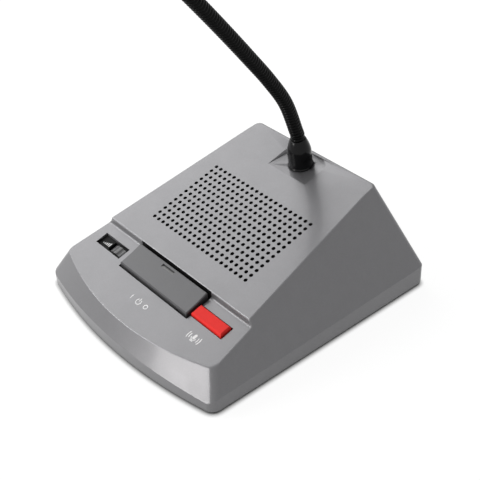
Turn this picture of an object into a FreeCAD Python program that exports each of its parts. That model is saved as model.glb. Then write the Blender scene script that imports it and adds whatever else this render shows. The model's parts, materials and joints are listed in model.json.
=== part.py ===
import FreeCAD, Part
import math
import os
from FreeCAD import Placement, Rotation, Vector

os.makedirs("parts", exist_ok=True)

# Frame: X to the user's right, Y to the rear, Z up. The desk is z = 0 and the
# body is centred on x = 0 and y = 0. All sizes are in millimetres and degrees.

# ---- body form -------------------------------------------------------------
body_width = 148.6
body_length = 163.9
front_bow = 9.7            # how far the middle of the front stands past its corners
desk_gap = 1.8             # skirt to desk
skirt_front = 7.7          # height of the upright band under the sloped faces
skirt_rear = 11.4
side_lean = 28.1
front_lean = 31.0
back_lean = 16.8
front_corner_r = 6.0
rear_corner_r = 4.0
step_from_front = 45.7     # riser between key deck and speaker slope
step_top_height = 32.2     # riser top above the skirt's lower edge
slope_angle = 15.2
step_depth = 3.7           # deck below the slope, square to it
step_fillet = 1.5
crease_from_front = 139.2
ridge_angle = 11.4
edge_fillet = 1.3
wall = 2.4

# ---- speaker grille --------------------------------------------------------
hole_pitch = 4.0
hole_columns = 21
hole_rows = 13
hole_r = 0.85
hole_sides = 6
grille_from_step = 16.6    # riser to the first row, up the slope

# ---- neck seat -------------------------------------------------------------
seat_half_width = 15.4
seat_from_front = 126.8
seat_length = 20.6
seat_height = 54.2         # floor's front edge above the skirt's lower edge
seat_corner_r = 7.0
neck_from_seat = 11.4      # neck's centre behind the seat's front edge
neck_lean = 6.5

# ---- keys and volume window ------------------------------------------------
power_well_front = 28.6    # distances from the front of the body
power_well_half = 30.9
power_key_front = 29.4
power_key_depth = 14.6
power_key_half = 29.9
power_key_rear_rise = 0.3  # key top over the slope at its rear edge
power_key_front_rise = 2.5 # key top over the deck at its front edge
power_key_dish = 0.35
power_key_skirt = 5.6      # key's lower edge below the deck at its front
power_key_flat = 5.0       # level part of its lower edge
power_key_tuck = 3.0       # its lower edge's rise towards the rear
power_key_swing = 7.0
key_wall = 1.5
key_chamfer = 0.5
lens_length = 10.3
lens_width = 1.9
lens_x = -1.4
lens_from_rear = 1.5
lens_depth = 3.6
lens_sink = 0.9
mic_well_front = 31.2
mic_well_depth = 8.3
mic_well_right = 56.0
mic_key_left = 30.9
mic_key_right = 55.2
mic_key_front = 31.8
mic_key_depth = 6.9
mic_key_rise = 1.75
mic_key_drop = 5.2         # key's lower edge below the deck's top
mic_key_travel = 2.0
mic_lip = 1.2
mic_lip_thick = 1.0
mic_key_chamfer = 0.8
volume_left = -57.6
volume_right = -35.0
volume_front = 31.5
volume_depth = 7.9
volume_wheel_x = -41.2
volume_wheel_r = 9.0
volume_wheel_width = 5.2
volume_wheel_sink = 0.6    # wheel's crown below the deck
volume_plate_sink = 1.5    # black window plate below the deck
volume_ribs = 16
volume_rib_depth = 0.45
bezel_thick = 1.2
bezel_flange = 1.0         # the bezel's rim under the deck

# ---- clearances ------------------------------------------------------------
gap = 0.3                  # between bodies that move past each other
slip = 0.05                # radial, shaft in its bore
seat_gap = 0.15            # between fixed neighbours

# ---- bottom, board and weight ----------------------------------------------
plate_thick = 2.2
plate_rise = 0.4           # base plate above the skirt's lower edge
foot_r = 7.0
foot_recess = 0.8
foot_edge = 0.8
foot_x = 47.0
foot_front_y = -56.0
foot_rear_y = 64.0
hidden_sides = 8           # flat sides of screws, posts and bosses out of sight
boss_r = 4.0
boss_x = 61.0
boss_front_y = -55.0
boss_rear_y = 66.0
housing_screw_r = 1.5
housing_screw_head_r = 3.0
housing_screw_head = 1.2
housing_screw_length = 12.0
boss_spare = 1.0           # bore past the end of a screw
ballast_width = 84.0
ballast_depth = 62.0
ballast_thick = 3.0
board_half = 52.0
board_front = -57.0
board_rear = 68.0
board_thick = 1.6
board_lift = 6.6           # board's underside over the base plate
board_post_r = 3.0
board_post_x = 47.0
board_post_front_y = -28.0
board_post_rear_y = 60.0
board_screw_r = 1.25
board_screw_head_r = 2.4
board_screw_head = 1.4
notch_beside_wheel = 2.4   # board's notch past the volume window
notch_length = 13.0        # board's notch behind the window's front edge
can_r = 4.5
can_height = 11.0
can_places = ((26.0, 42.0), (37.0, 44.0), (-34.0, 36.0))
chip_width = 20.0
chip_thick = 4.2
chip_height = 11.0
heat_sink_y = 50.0
heat_sink_width = 28.0
heat_sink_height = 16.0
heat_sink_plate = 2.0
heat_sink_depth = 8.0
heat_sink_fins = 5
heat_sink_fin = 1.2

# ---- switches, lamp and pot ------------------------------------------------
switch_side = 7.0
switch_height = 5.0
switch_floor = 1.0
plunger_r = 1.6
power_switch_x = 12.0
power_switch_from_pivot = 9.5
mic_switch_x = 37.0
mic_spring_x = 49.0
power_spring_x = -16.0
spring_width = 4.0
spring_thick = 0.35
spring_reach = 3.0
spring_fold = 1.2
lamp_r = 1.5
lamp_flange = 0.4
lamp_flange_thick = 1.0
lamp_height = 8.0
lamp_dome = 0.7
lamp_forward = 0.4         # lamp's centre ahead of the lens's centre
pot_side = 12.0
pot_thick = 4.0
pot_shaft_r = 1.5
pot_floor = 0.6
pot_foot_width = 8.0
pot_foot_depth = 4.0
pot_foot_height = 2.5
pivot_r = 1.0
pivot_from_key_front = 1.3
pivot_under_deck = 2.9
pivot_ear_x = 22.0
pivot_ear_thick = 2.4
pivot_rib_x = 26.0
pivot_boss_r = 2.1
pivot_over = 1.7           # ear above the pin's centre

# ---- speaker ---------------------------------------------------------------
speaker_flange_half = 30.0
speaker_flange_thick = 0.9
speaker_boss_r = 3.0
speaker_boss_height = 3.0
speaker_boss_offset = 25.5
speaker_screw_r = 1.25
speaker_screw_head_r = 2.4
speaker_screw_head = 1.3
cone_rim_r = 26.3
cone_throat_r = 8.0
cone_depth = 8.0
cone_thick = 0.6
cone_sink = 0.2            # cone's rim below the basket's mouth
cap_rise = 3.2
throat_gap = 1.2
flange_corner = 5.0
pole_gap = 1.4
yoke_step = 1.0
basket_depth = 11.0
basket_rim = 3.0           # straight part of the basket's wall
magnet_r = 14.0
magnet_height = 6.0
yoke_height = 2.5
cloth_margin = 2.6
cloth_thick = 0.4

# ---- rear sockets ----------------------------------------------------------
panel_half = 25.0
panel_bottom = 5.4
panel_height = 17.4
panel_thick = 2.0
panel_inset = 3.0          # panel's face inside the rear of the skirt
line_socket_x = -12.0
line_bore_r = 1.8
line_bore_length = 14.0
line_nose_r = 3.9
dc_socket_x = 12.0
dc_mouth_r = 3.2
dc_pin_r = 1.0
dc_mouth_depth = 9.0
dc_nose_r = 4.2
dc_pin_sink = 1.0
socket_body_width = 11.0
socket_lift = 4.2
socket_body_height = 8.0
socket_body_depth = 13.0

# ---- neck ------------------------------------------------------------------
neck_r = 4.1
rib_depth = 0.45
ribs_per_link = 4
neck_sides = 12
links = 9
link_length = 21.0
link_swing = 15.0          # each joint, to either side
link_relief = 0.8          # spare degrees in the relief between links
link_end_gap = 0.12
bend_lean_start = 8.0      # lean of the neck where it leaves the collar
bend_lean_knee = 36.0
bend_knee = 48.0           # along the neck
bend_lean_end = 41.0
collar_height = 14.0
collar_r = 6.95
collar_foot_r = 7.5
collar_foot_height = 1.4
collar_shoulder = 9.8
collar_top_r = 4.75
collar_edge = 0.4
stem_below_seat = 10.0
nut_across_flats = 15.0
nut_height = 4.0
washer_r = 8.5
washer_thick = 0.8

# ---- microphone head -------------------------------------------------------
head_r = 7.6
ferrule_length = 9.0
head_body_length = 17.0
head_cap_length = 12.0
head_cap_slots = 8
head_slot_margin = 1.0
head_spigot = 4.0          # barrel inside the cap
head_skin = 0.7            # cap over the barrel
cap_wall = 1.3
cap_nose = 3.0             # length of the cap's tapered end
cap_nose_in = 2.6
ferrule_overlap = 5.0      # ferrule over the neck
ferrule_skin = 1.2
head_slot_width = 1.4
capsule_r = 4.8
capsule_height = 5.0

# ---- places worked out from the sizes --------------------------------------
half_width = body_width / 2
y_front = -body_length / 2
y_rear = body_length / 2
bow_radius = (half_width ** 2 + front_bow ** 2) / (2 * front_bow)
y_step = y_front + step_from_front
z_step_top = desk_gap + step_top_height
tan_slope = math.tan(math.radians(slope_angle))
cos_slope = math.cos(math.radians(slope_angle))
sin_slope = math.sin(math.radians(slope_angle))
above_body = 90.0          # any height over the body's top
beside_body = 120.0        # any distance past its sides
plate_bottom = desk_gap + plate_rise
plate_top = plate_bottom + plate_thick
board_bottom = plate_top + board_lift
board_top = board_bottom + board_thick
y_crease = y_front + crease_from_front
slope_tilt = Rotation(Vector(1, 0, 0), slope_angle)


def slope_z(y):
    """Height of the speaker slope at y."""
    return z_step_top + (y - y_step) * tan_slope


def deck_z(y):
    """Height of the key deck at y."""
    return slope_z(y) - step_depth / cos_slope


def on_slope(x, up, over=0.0):
    """A point up the slope from the riser's top edge, over the slope's face."""
    y = y_step + up * cos_slope - over * sin_slope
    z = z_step_top + up * sin_slope + over * cos_slope
    return Vector(x, y, z)


def slope_place(x, up, over=0.0):
    """The frame of a piece that lies parallel to the slope."""
    return Placement(on_slope(x, up, over), slope_tilt)


def box(x0, x1, y0, y1, z0, z1):
    """A block between two corners."""
    return Part.makeBox(x1 - x0, y1 - y0, z1 - z0, Vector(x0, y0, z0))


def ring(r, height, sides):
    """A closed flat-sided outline with its corners on r."""
    turns = [2 * math.pi * (i + 0.5) / sides for i in range(sides)]
    corners = [Vector(r * math.cos(turn), r * math.sin(turn), height) for turn in turns]
    return Part.makePolygon(corners + corners[:1])


def rod(r, base, top, sides=0):
    """A bar from base to top: round, or flat-sided with its corners on r."""
    if sides == 0:
        return Part.makeCylinder(r, (top - base).Length, base, top - base)
    bar = Part.Face(ring(r, 0, sides)).extrude(Vector(0, 0, (top - base).Length))
    bar.Placement = Placement(base, Rotation(Vector(0, 0, 1), top - base))
    return bar


def slope_rod(r, x, up, low, high, sides=0):
    """A bar square to the slope, between two heights over it."""
    return rod(r, on_slope(x, up, low), on_slope(x, up, high), sides)


def turned(points, base=Vector(0, 0, 0), axis=Vector(0, 0, 1)):
    """A turned solid: points are (radius, height) along the axis from base."""
    outline = [Vector(r, 0, h) for r, h in points]
    face = Part.Face(Part.makePolygon(outline + outline[:1]))
    solid = face.revolve(Vector(0, 0, 0), Vector(0, 0, 1), 360)
    solid.Placement = Placement(base, Rotation(Vector(0, 0, 1), axis))
    return solid


def side_profile(points, x0, x1):
    """A bar of constant section: points are (y, z) and it runs from x0 to x1."""
    outline = [Vector(x0, y, z) for y, z in points]
    face = Part.Face(Part.makePolygon(outline + outline[:1]))
    return face.extrude(Vector(x1 - x0, 0, 0))


def fused(shapes):
    """One solid from touching shapes, with no seams left between them."""
    return shapes[0].multiFuse(shapes[1:]).removeSplitter()


def fillet_wire(corners, radii, x=0.0):
    """A closed outline in the YZ plane at x, with some corners rounded."""
    edges = []
    count = len(corners)
    starts = []
    ends = []
    for i, (corner, radius) in enumerate(zip(corners, radii)):
        here = Vector(x, *corner)
        before = Vector(x, *corners[i - 1]) - here
        after = Vector(x, *corners[(i + 1) % count]) - here
        before.normalize()
        after.normalize()
        if radius == 0:
            starts.append(here)
            ends.append(here)
            continue
        half_turn = before.getAngle(after) / 2
        reach = radius / math.tan(half_turn)
        middle = before + after
        middle.normalize()
        centre = here + middle * (radius / math.sin(half_turn))
        first = here + before * reach
        last = here + after * reach
        edges.append(Part.Arc(first, centre - middle * radius, last).toShape())
        starts.append(first)
        ends.append(last)
    for i in range(count):
        edges.append(Part.LineSegment(ends[i - 1], starts[i]).toShape())
    return Part.Wire(Part.__sortEdges__(edges))


# ---- housing ---------------------------------------------------------------
def plan_wire(z, half_front, half_rear, front, rear):
    """The body's outline at one height, with its bowed front."""
    sag = bow_radius - math.sqrt(bow_radius ** 2 - half_front ** 2)
    left = Vector(-half_front, front + sag, z)
    right = Vector(half_front, front + sag, z)
    rear_right = Vector(half_rear, rear, z)
    rear_left = Vector(-half_rear, rear, z)
    bow = Part.Arc(left, Vector(0, front, z), right).toShape()
    sides = [
        Part.LineSegment(right, rear_right).toShape(),
        Part.LineSegment(rear_right, rear_left).toShape(),
        Part.LineSegment(rear_left, left).toShape(),
    ]
    return Part.Wire([bow] + sides)


def upright_edges(solid, front):
    """The two corner edges at the front or at the rear."""
    found = []
    for edge in solid.Edges:
        ends = [v.Point for v in edge.Vertexes]
        if len(ends) == 2 and abs(ends[0].z - ends[1].z) > 10:
            if (edge.CenterOfMass.y < 0) == front:
                found.append(edge)
    return found


def rounded_corners(solid, inset):
    """The solid with its four upright corners rounded."""
    front_r = max(front_corner_r - inset, 1.0)
    rear_r = max(rear_corner_r - inset, 1.0)
    solid = solid.makeFillet(front_r, upright_edges(solid, True))
    return solid.makeFillet(rear_r, upright_edges(solid, False))


def top_profile(inset):
    """Everything under the deck, riser, slope and ridge, drawn in by inset."""
    drop = inset / cos_slope
    riser = y_step + inset
    far_front = y_front - beside_body
    far_rear = y_rear + beside_body
    crease_z = slope_z(y_crease) - drop
    ridge_rise = (far_rear - y_crease) * math.tan(math.radians(ridge_angle))
    corners = [
        (far_front, -beside_body),
        (far_front, deck_z(far_front) - drop),
        (riser, deck_z(riser) - drop),
        (riser, slope_z(riser) - drop),
        (y_crease, crease_z),
        (far_rear, crease_z + ridge_rise),
        (far_rear, -beside_body),
    ]
    radii = [0, 0, step_fillet, step_fillet, 0, 0, 0]
    face = Part.Face(fillet_wire(corners, radii, -beside_body))
    return face.extrude(Vector(2 * beside_body, 0, 0))


def envelope(inset, bottom):
    """The body's whole form above bottom, drawn in by inset."""
    half = half_width - inset
    skirt = Part.Face(plan_wire(bottom, half, half, y_front + inset, y_rear - inset))
    skirt = rounded_corners(skirt.extrude(Vector(0, 0, above_body - bottom)), inset)

    def section(z):
        over_front = z - desk_gap - skirt_front
        over_rear = z - desk_gap - skirt_rear
        side_tan = math.tan(math.radians(side_lean))
        side_in = inset / math.cos(math.radians(side_lean))
        front_in = inset / math.cos(math.radians(front_lean))
        back_in = inset / math.cos(math.radians(back_lean))
        return plan_wire(
            z,
            half_width - side_in - over_front * side_tan,
            half_width - side_in - over_rear * side_tan,
            y_front + front_in + over_front * math.tan(math.radians(front_lean)),
            y_rear - back_in - over_rear * math.tan(math.radians(back_lean)),
        )

    taper = Part.makeLoft([section(-beside_body / 4), section(above_body)], True, True)
    taper = rounded_corners(taper, inset)
    return skirt.common(taper).common(top_profile(inset))


def top_rim(solid):
    """The edges where the top faces meet the leaning walls."""
    found = []
    for edge in solid.Edges:
        middle = edge.valueAt((edge.FirstParameter + edge.LastParameter) / 2)
        normals = []
        for face in solid.ancestorsOfType(edge, Part.Face):
            u, v = face.Surface.parameter(middle)
            normals.append(face.normalAt(u, v))
        if len(normals) != 2:
            continue
        tops = [n for n in normals if abs(n.x) < 0.02 and n.z > 0.9]
        risers = [n for n in normals if abs(n.x) < 0.02 and n.y < -0.2 and n.z < 0.97]
        walls = [n for n in normals if n.z < 0.75 and (abs(n.x) > 0.3 or n.y > 0.3)]
        fronts = [n for n in normals if n.y < -0.5 and n.z < 0.75]
        above_skirt = middle.z > desk_gap + skirt_rear + 2
        if above_skirt and (tops or risers) and (walls or fronts) and middle.y < y_rear:
            riser_only = abs(middle.y - y_step) < step_fillet + 1 and not walls
            if not riser_only:
                found.append(edge)
    return found


def grille_cutter():
    """One prism for each sound hole, square to the slope."""
    span = hole_pitch * (hole_columns - 1)
    cutters = []
    for row in range(hole_rows):
        up = grille_from_step + row * hole_pitch
        for column in range(hole_columns):
            x = column * hole_pitch - span / 2
            cutters.append(slope_rod(hole_r, x, up, -2 * wall, wall, hole_sides))
    return Part.makeCompound(cutters)


def seat_cutter(spare):
    """The rounded recess that the neck stands in; spare widens and lengthens it."""
    y0 = y_front + seat_from_front - spare
    y1 = y_front + seat_from_front + seat_length + spare
    half = seat_half_width + spare
    block = box(-half, half, 0, y1 - y0, -spare, above_body)
    rear = [e for e in block.Edges if e.CenterOfMass.y > y1 - y0 - 0.1 and abs(e.CenterOfMass.x) > half - 0.1]
    upright = [e for e in rear if abs(e.Vertexes[0].Z - e.Vertexes[1].Z) > 1]
    block = block.makeFillet(seat_corner_r + spare, upright)
    block.Placement = Placement(Vector(0, y0, desk_gap + seat_height), Rotation(Vector(1, 0, 0), neck_lean))
    return block


y_collar = y_front + seat_from_front + neck_from_seat
z_collar = desk_gap + seat_height + neck_from_seat * math.tan(math.radians(neck_lean))
collar_base = Vector(0, y_collar, z_collar)
collar_axis = Rotation(Vector(1, 0, 0), neck_lean).multVec(Vector(0, 0, 1))

y_power_front = y_front + power_key_front
y_power_rear = y_power_front + power_key_depth
y_pivot = y_power_front + pivot_from_key_front
z_pivot = deck_z(y_pivot) - pivot_under_deck
y_mic_front = y_front + mic_key_front
y_mic_rear = y_mic_front + mic_key_depth


def pivot_bar(r, reach):
    """A bar along the wide key's pivot line, to either side of the middle."""
    return rod(r, Vector(-reach, y_pivot, z_pivot), Vector(reach, y_pivot, z_pivot))


def screw_places():
    """The four housing screws."""
    return [(sign * boss_x, y) for sign in (-1, 1) for y in (boss_front_y, boss_rear_y)]


def board_places():
    """The four board screws."""
    return [(sign * board_post_x, y) for sign in (-1, 1) for y in (board_post_front_y, board_post_rear_y)]


speaker_up = grille_from_step + hole_pitch * (hole_rows - 1) / 2
speaker_seat = -wall - speaker_boss_height


def speaker_places():
    """The four speaker screws, as x and distance up the slope."""
    offsets = (-speaker_boss_offset, speaker_boss_offset)
    return [(x, speaker_up + along_slope) for x in offsets for along_slope in offsets]


def deck_openings():
    """The shaft through the deck for both keys, and the volume window."""
    low = desk_gap + skirt_front
    power = box(-power_well_half, power_well_half, y_front + power_well_front, y_step, low, above_body)
    mic_y = y_front + mic_well_front
    mic = box(power_well_half - 1, mic_well_right, mic_y, mic_y + mic_well_depth, low, above_body)
    window_y = y_front + volume_front
    window = box(volume_left, volume_right, window_y, window_y + volume_depth, low, above_body)
    return [power, mic, window]


def upper_housing():
    """The silver moulding: skirt, deck, slope, ridge, grille, neck seat and bosses."""
    outer = envelope(0, desk_gap)
    rounded = outer.makeFillet(edge_fillet, top_rim(outer))
    shell = rounded.cut(envelope(wall, -above_body / 2))
    additions = []
    inside = envelope(wall / 2, -above_body / 2)
    additions.append(seat_cutter(wall).common(inside))
    for x, y in screw_places():
        boss = rod(boss_r, Vector(x, y, plate_top), Vector(x, y, above_body), hidden_sides)
        additions.append(boss.common(inside))
    for x, up in speaker_places():
        additions.append(slope_rod(speaker_boss_r, x, up, speaker_seat, -wall / 2, hidden_sides))
    for x in (-pivot_ear_x, pivot_ear_x):
        x0 = x - pivot_ear_thick / 2
        well = y_front + power_well_front
        root = well - 3 * wall / 2
        ear = side_profile(
            [
                (root, deck_z(root) - wall / 2),
                (root, z_pivot - pivot_boss_r),
                (y_pivot + pivot_boss_r, z_pivot - pivot_boss_r),
                (y_pivot + pivot_boss_r, z_pivot + pivot_over),
                (well, z_pivot + pivot_over),
                (well, deck_z(well) - wall / 2),
            ],
            x0,
            x0 + pivot_ear_thick,
        )
        additions.append(ear)
    shell = fused([shell] + additions)
    cutters = deck_openings() + [seat_cutter(0), grille_cutter()]
    cutters.append(rod(neck_r + gap, collar_base - collar_axis * 4 * wall, collar_base + collar_axis * wall))
    for x, y in screw_places():
        top = plate_bottom + housing_screw_head + housing_screw_length + boss_spare
        cutters.append(rod(housing_screw_r + slip, Vector(x, y, 0), Vector(x, y, top), hidden_sides))
    for x, up in speaker_places():
        cutters.append(slope_rod(speaker_screw_r + slip, x, up, speaker_seat, -wall / 2, hidden_sides))
    cutters.append(pivot_bar(pivot_r + slip, pivot_ear_x + pivot_ear_thick))
    panel_top = panel_bottom + panel_height
    cutters.append(box(-panel_half, panel_half, y_rear - 4 * wall, y_rear + wall, panel_bottom, panel_top))
    return shell.cut(cutters)


def base_plate():
    """The black bottom cover, with board posts, foot recesses and screw holes."""
    inset = wall + gap
    half = half_width - inset
    outline = Part.Face(plan_wire(plate_bottom, half, half, y_front + inset, y_rear - inset))
    plate = rounded_corners(outline.extrude(Vector(0, 0, plate_thick * 5)), inset)
    plate = plate.common(box(-beside_body, beside_body, -beside_body, beside_body, plate_bottom, plate_top))
    posts = []
    for x, y in board_places():
        posts.append(rod(board_post_r, Vector(x, y, plate_bottom), Vector(x, y, board_bottom), hidden_sides))
    plate = fused([plate] + posts)
    cutters = []
    for x, y in screw_places():
        foot = Vector(x, y, 0)
        head_seat = Vector(x, y, plate_bottom + housing_screw_head)
        cutters.append(rod(housing_screw_r + 2 * slip, foot, Vector(x, y, above_body), hidden_sides))
        cutters.append(rod(housing_screw_head_r + 2 * slip, foot, head_seat, hidden_sides))
    for x, y in board_places():
        low = Vector(x, y, board_bottom - board_lift + boss_spare / 2)
        cutters.append(rod(board_screw_r + slip, low, Vector(x, y, above_body), hidden_sides))
    for x in (-foot_x, foot_x):
        for y in (foot_front_y, foot_rear_y):
            cutters.append(rod(foot_r + slip, Vector(x, y, 0), Vector(x, y, plate_bottom + foot_recess)))
    return plate.cut(cutters)


def rubber_feet():
    """Four round feet, glued into their recesses."""
    top = plate_bottom + foot_recess
    outline = [(0, 0), (foot_r - foot_edge, 0), (foot_r, foot_edge), (foot_r, top), (0, top)]
    places = [Vector(x, y, 0) for x in (-foot_x, foot_x) for y in (foot_front_y, foot_rear_y)]
    return Part.makeCompound([turned(outline, place) for place in places])


def screw(head_r, head, r, length, base, axis):
    """A plain screw: the face of its head at base, its shank along axis."""
    shoulder = base + axis * head
    shank = rod(r, base, shoulder + axis * length, hidden_sides)
    return fused([rod(head_r, base, shoulder, hidden_sides), shank])


def housing_screws():
    """Four screws from below, through the base plate into the housing's bosses."""
    up = Vector(0, 0, 1)
    head = (housing_screw_head_r, housing_screw_head)
    shank = (housing_screw_r, housing_screw_length)
    places = [Vector(x, y, plate_bottom) for x, y in screw_places()]
    return Part.makeCompound([screw(*head, *shank, place, up) for place in places])


def ballast_plate():
    """A steel plate that keeps the neck from tipping the unit."""
    half_x = ballast_width / 2
    half_y = ballast_depth / 2
    return box(-half_x, half_x, -half_y, half_y, plate_top, plate_top + ballast_thick)


# ---- board -----------------------------------------------------------------
notch_rear = y_front + volume_front + notch_length


def main_board():
    """The circuit board, notched round the volume wheel."""
    board = box(-board_half, board_half, board_front, board_rear, board_bottom, board_top)
    notch_right = volume_right + notch_beside_wheel
    cutters = [box(-board_half - wall, notch_right, board_front - wall, notch_rear, 0, above_body)]
    for x, y in board_places():
        hole_r = board_screw_r + 2 * slip
        cutters.append(rod(hole_r, Vector(x, y, 0), Vector(x, y, above_body), hidden_sides))
    return board.cut(cutters)


def board_screws():
    """Four screws that hold the board on its posts."""
    down = Vector(0, 0, -1)
    head = (board_screw_head_r, board_screw_head)
    shank = (board_screw_r, board_thick + board_lift - boss_spare)
    places = [Vector(x, y, board_top + board_screw_head) for x, y in board_places()]
    return Part.makeCompound([screw(*head, *shank, place, down) for place in places])


def board_capacitors():
    """Three smoothing capacitors on the board."""
    cans = []
    for x, y in can_places:
        cans.append(rod(can_r, Vector(x, y, board_top), Vector(x, y, board_top + can_height), hidden_sides))
    return Part.makeCompound(cans)


def amplifier_chip():
    """The audio amplifier, screwed flat against its heat sink."""
    half = chip_width / 2
    return box(-half, half, heat_sink_y - chip_thick, heat_sink_y, board_top, board_top + chip_height)


def heat_sink():
    """A finned plate behind the amplifier."""
    half = heat_sink_width / 2
    top = board_top + heat_sink_height
    pieces = [box(-half, half, heat_sink_y, heat_sink_y + heat_sink_plate, board_top, top)]
    for i in range(heat_sink_fins):
        x0 = -half + (heat_sink_width - heat_sink_fin) * i / (heat_sink_fins - 1)
        fin_front = heat_sink_y + heat_sink_plate / 2
        pieces.append(box(x0, x0 + heat_sink_fin, fin_front, heat_sink_y + heat_sink_depth, board_top, top))
    return fused(pieces)


def switch_body(x, y):
    """A square push switch on the board, with a bore for its plunger."""
    half = switch_side / 2
    body = box(x - half, x + half, y - half, y + half, board_top, board_top + switch_height)
    return body.cut(rod(plunger_r + slip, Vector(x, y, board_top + switch_floor), Vector(x, y, above_body)))


def plunger(x, y, top, travel):
    """The switch's moving stem, up to the key's pusher, with room under it to go down."""
    return rod(plunger_r, Vector(x, y, board_top + switch_floor + travel + gap), Vector(x, y, top))


def leaf_spring(x, y, bottom, top):
    """A folded strip spring between board and key."""
    front = y - spring_reach
    rear = y + spring_reach
    points = [
        (front, bottom),
        (rear, bottom),
        (rear, bottom + spring_thick),
        (front + spring_fold, bottom + spring_thick),
        (rear, top - spring_thick),
        (rear, top),
        (front, top),
        (front, top - spring_thick),
        (rear - spring_fold, top - spring_thick),
    ]
    return side_profile(points, x - spring_width / 2, x + spring_width / 2)


# ---- power key -------------------------------------------------------------
y_power_switch = y_pivot + power_switch_from_pivot
z_power_bottom = deck_z(y_power_front) - power_key_skirt
power_travel = power_switch_from_pivot * math.radians(power_key_swing)
power_pusher = board_top + switch_height + power_travel + 3 * gap


def key_top(y):
    """Height of the wide key's top between its front and rear edges, undished."""
    front_top = deck_z(y_power_front) + power_key_front_rise
    rear_top = slope_z(y_power_rear) + power_key_rear_rise
    return front_top + (rear_top - front_top) * (y - y_power_front) / power_key_depth


def power_key_cap():
    """The wide key's outside: a dished top over four walls."""
    x0 = -power_key_half
    middle = (y_power_front + y_power_rear) / 2
    dish = Part.Arc(
        Vector(x0, y_power_front, key_top(y_power_front)),
        Vector(x0, middle, key_top(middle) - power_key_dish),
        Vector(x0, y_power_rear, key_top(y_power_rear)),
    ).toShape()
    walls = Part.makePolygon([
        Vector(x0, y_power_rear, key_top(y_power_rear)),
        Vector(x0, y_power_rear, z_power_bottom + power_key_tuck),
        Vector(x0, y_power_front + power_key_flat, z_power_bottom),
        Vector(x0, y_power_front, z_power_bottom),
        Vector(x0, y_power_front, key_top(y_power_front)),
    ])
    cap = Part.Face(Part.Wire([dish] + walls.Edges)).extrude(Vector(2 * power_key_half, 0, 0))
    rim = [e for e in cap.Edges if e.BoundBox.ZMin > key_top(y_power_front) - slip]
    return cap.makeChamfer(key_chamfer, rim)


def power_key():
    """The wide silver key: a hollow cap pivoted near its front edge, with its pushers."""
    inner_front = y_power_front + key_wall
    inner_rear = y_power_rear - key_wall
    roof = key_wall + power_key_dish
    inner_half = power_key_half - key_wall
    hollow = side_profile(
        [
            (inner_front, z_power_bottom - wall),
            (inner_front, key_top(inner_front) - roof),
            (inner_rear, key_top(inner_rear) - roof),
            (inner_rear, z_power_bottom - wall),
        ],
        -inner_half,
        inner_half,
    )
    pieces = [power_key_cap().cut(hollow)]
    rib_front = y_power_front + key_wall / 2
    rib_rear = y_pivot + pivot_boss_r
    for x in (-pivot_rib_x, pivot_rib_x):
        rib = side_profile(
            [
                (rib_front, z_power_bottom),
                (rib_rear, z_power_bottom),
                (rib_rear, key_top(rib_rear) - key_wall),
                (rib_front, key_top(rib_front) - key_wall),
            ],
            x - key_wall / 2,
            x + key_wall / 2,
        )
        pieces.append(rib)
    pusher_top = key_top(y_power_switch) - key_wall
    for x in (power_switch_x, power_spring_x):
        low = Vector(x, y_power_switch, power_pusher)
        pieces.append(rod(plunger_r, low, Vector(x, y_power_switch, pusher_top), hidden_sides))
    key = fused(pieces)
    cutters = [lens_block(0.0, above_body)]
    slot_half = pivot_ear_thick / 2 + gap
    slot_top = z_pivot + pivot_boss_r + gap
    slot_rear = y_power_front + 2 * key_wall
    slot_front = y_power_front - wall
    slot_low = z_power_bottom - wall
    for x in (-pivot_ear_x, pivot_ear_x):
        cutters.append(box(x - slot_half, x + slot_half, slot_front, slot_rear, slot_low, slot_top))
    cutters.append(pivot_bar(pivot_r + slip, pivot_rib_x + key_wall))
    return key.cut(cutters)


def lens_block(shrink, top):
    """The slot near the key's rear edge, or its lens when shrunk."""
    y1 = y_power_rear - lens_from_rear - shrink
    y0 = y1 - lens_width + 2 * shrink
    half = lens_length / 2 - shrink
    return box(lens_x - half, lens_x + half, y0, y1, slope_z(y1) - lens_depth, top)


def power_lens():
    """The lamp's window in the key, a little below the key's face."""
    face_z = slope_z(y_power_rear - lens_from_rear) - lens_sink
    return lens_block(seat_gap / 3, face_z)


def power_key_pin():
    """The steel pin that the key swings on."""
    return pivot_bar(pivot_r, pivot_rib_x + key_wall)


def power_lamp():
    """The lamp on the board, under the key's lens."""
    y = y_power_rear - lens_from_rear - lens_width / 2 - lamp_forward
    outline = [
        (0, 0),
        (lamp_r + lamp_flange, 0),
        (lamp_r + lamp_flange, lamp_flange_thick),
        (lamp_r, lamp_flange_thick),
        (lamp_r, lamp_height - lamp_dome),
        (lamp_r - lamp_dome, lamp_height),
        (0, lamp_height),
    ]
    return turned(outline, Vector(lens_x, y, board_top))


# ---- microphone key --------------------------------------------------------
y_mic_middle = (y_mic_front + y_mic_rear) / 2
mic_pusher = board_top + switch_height + mic_key_travel + 3 * gap


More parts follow.
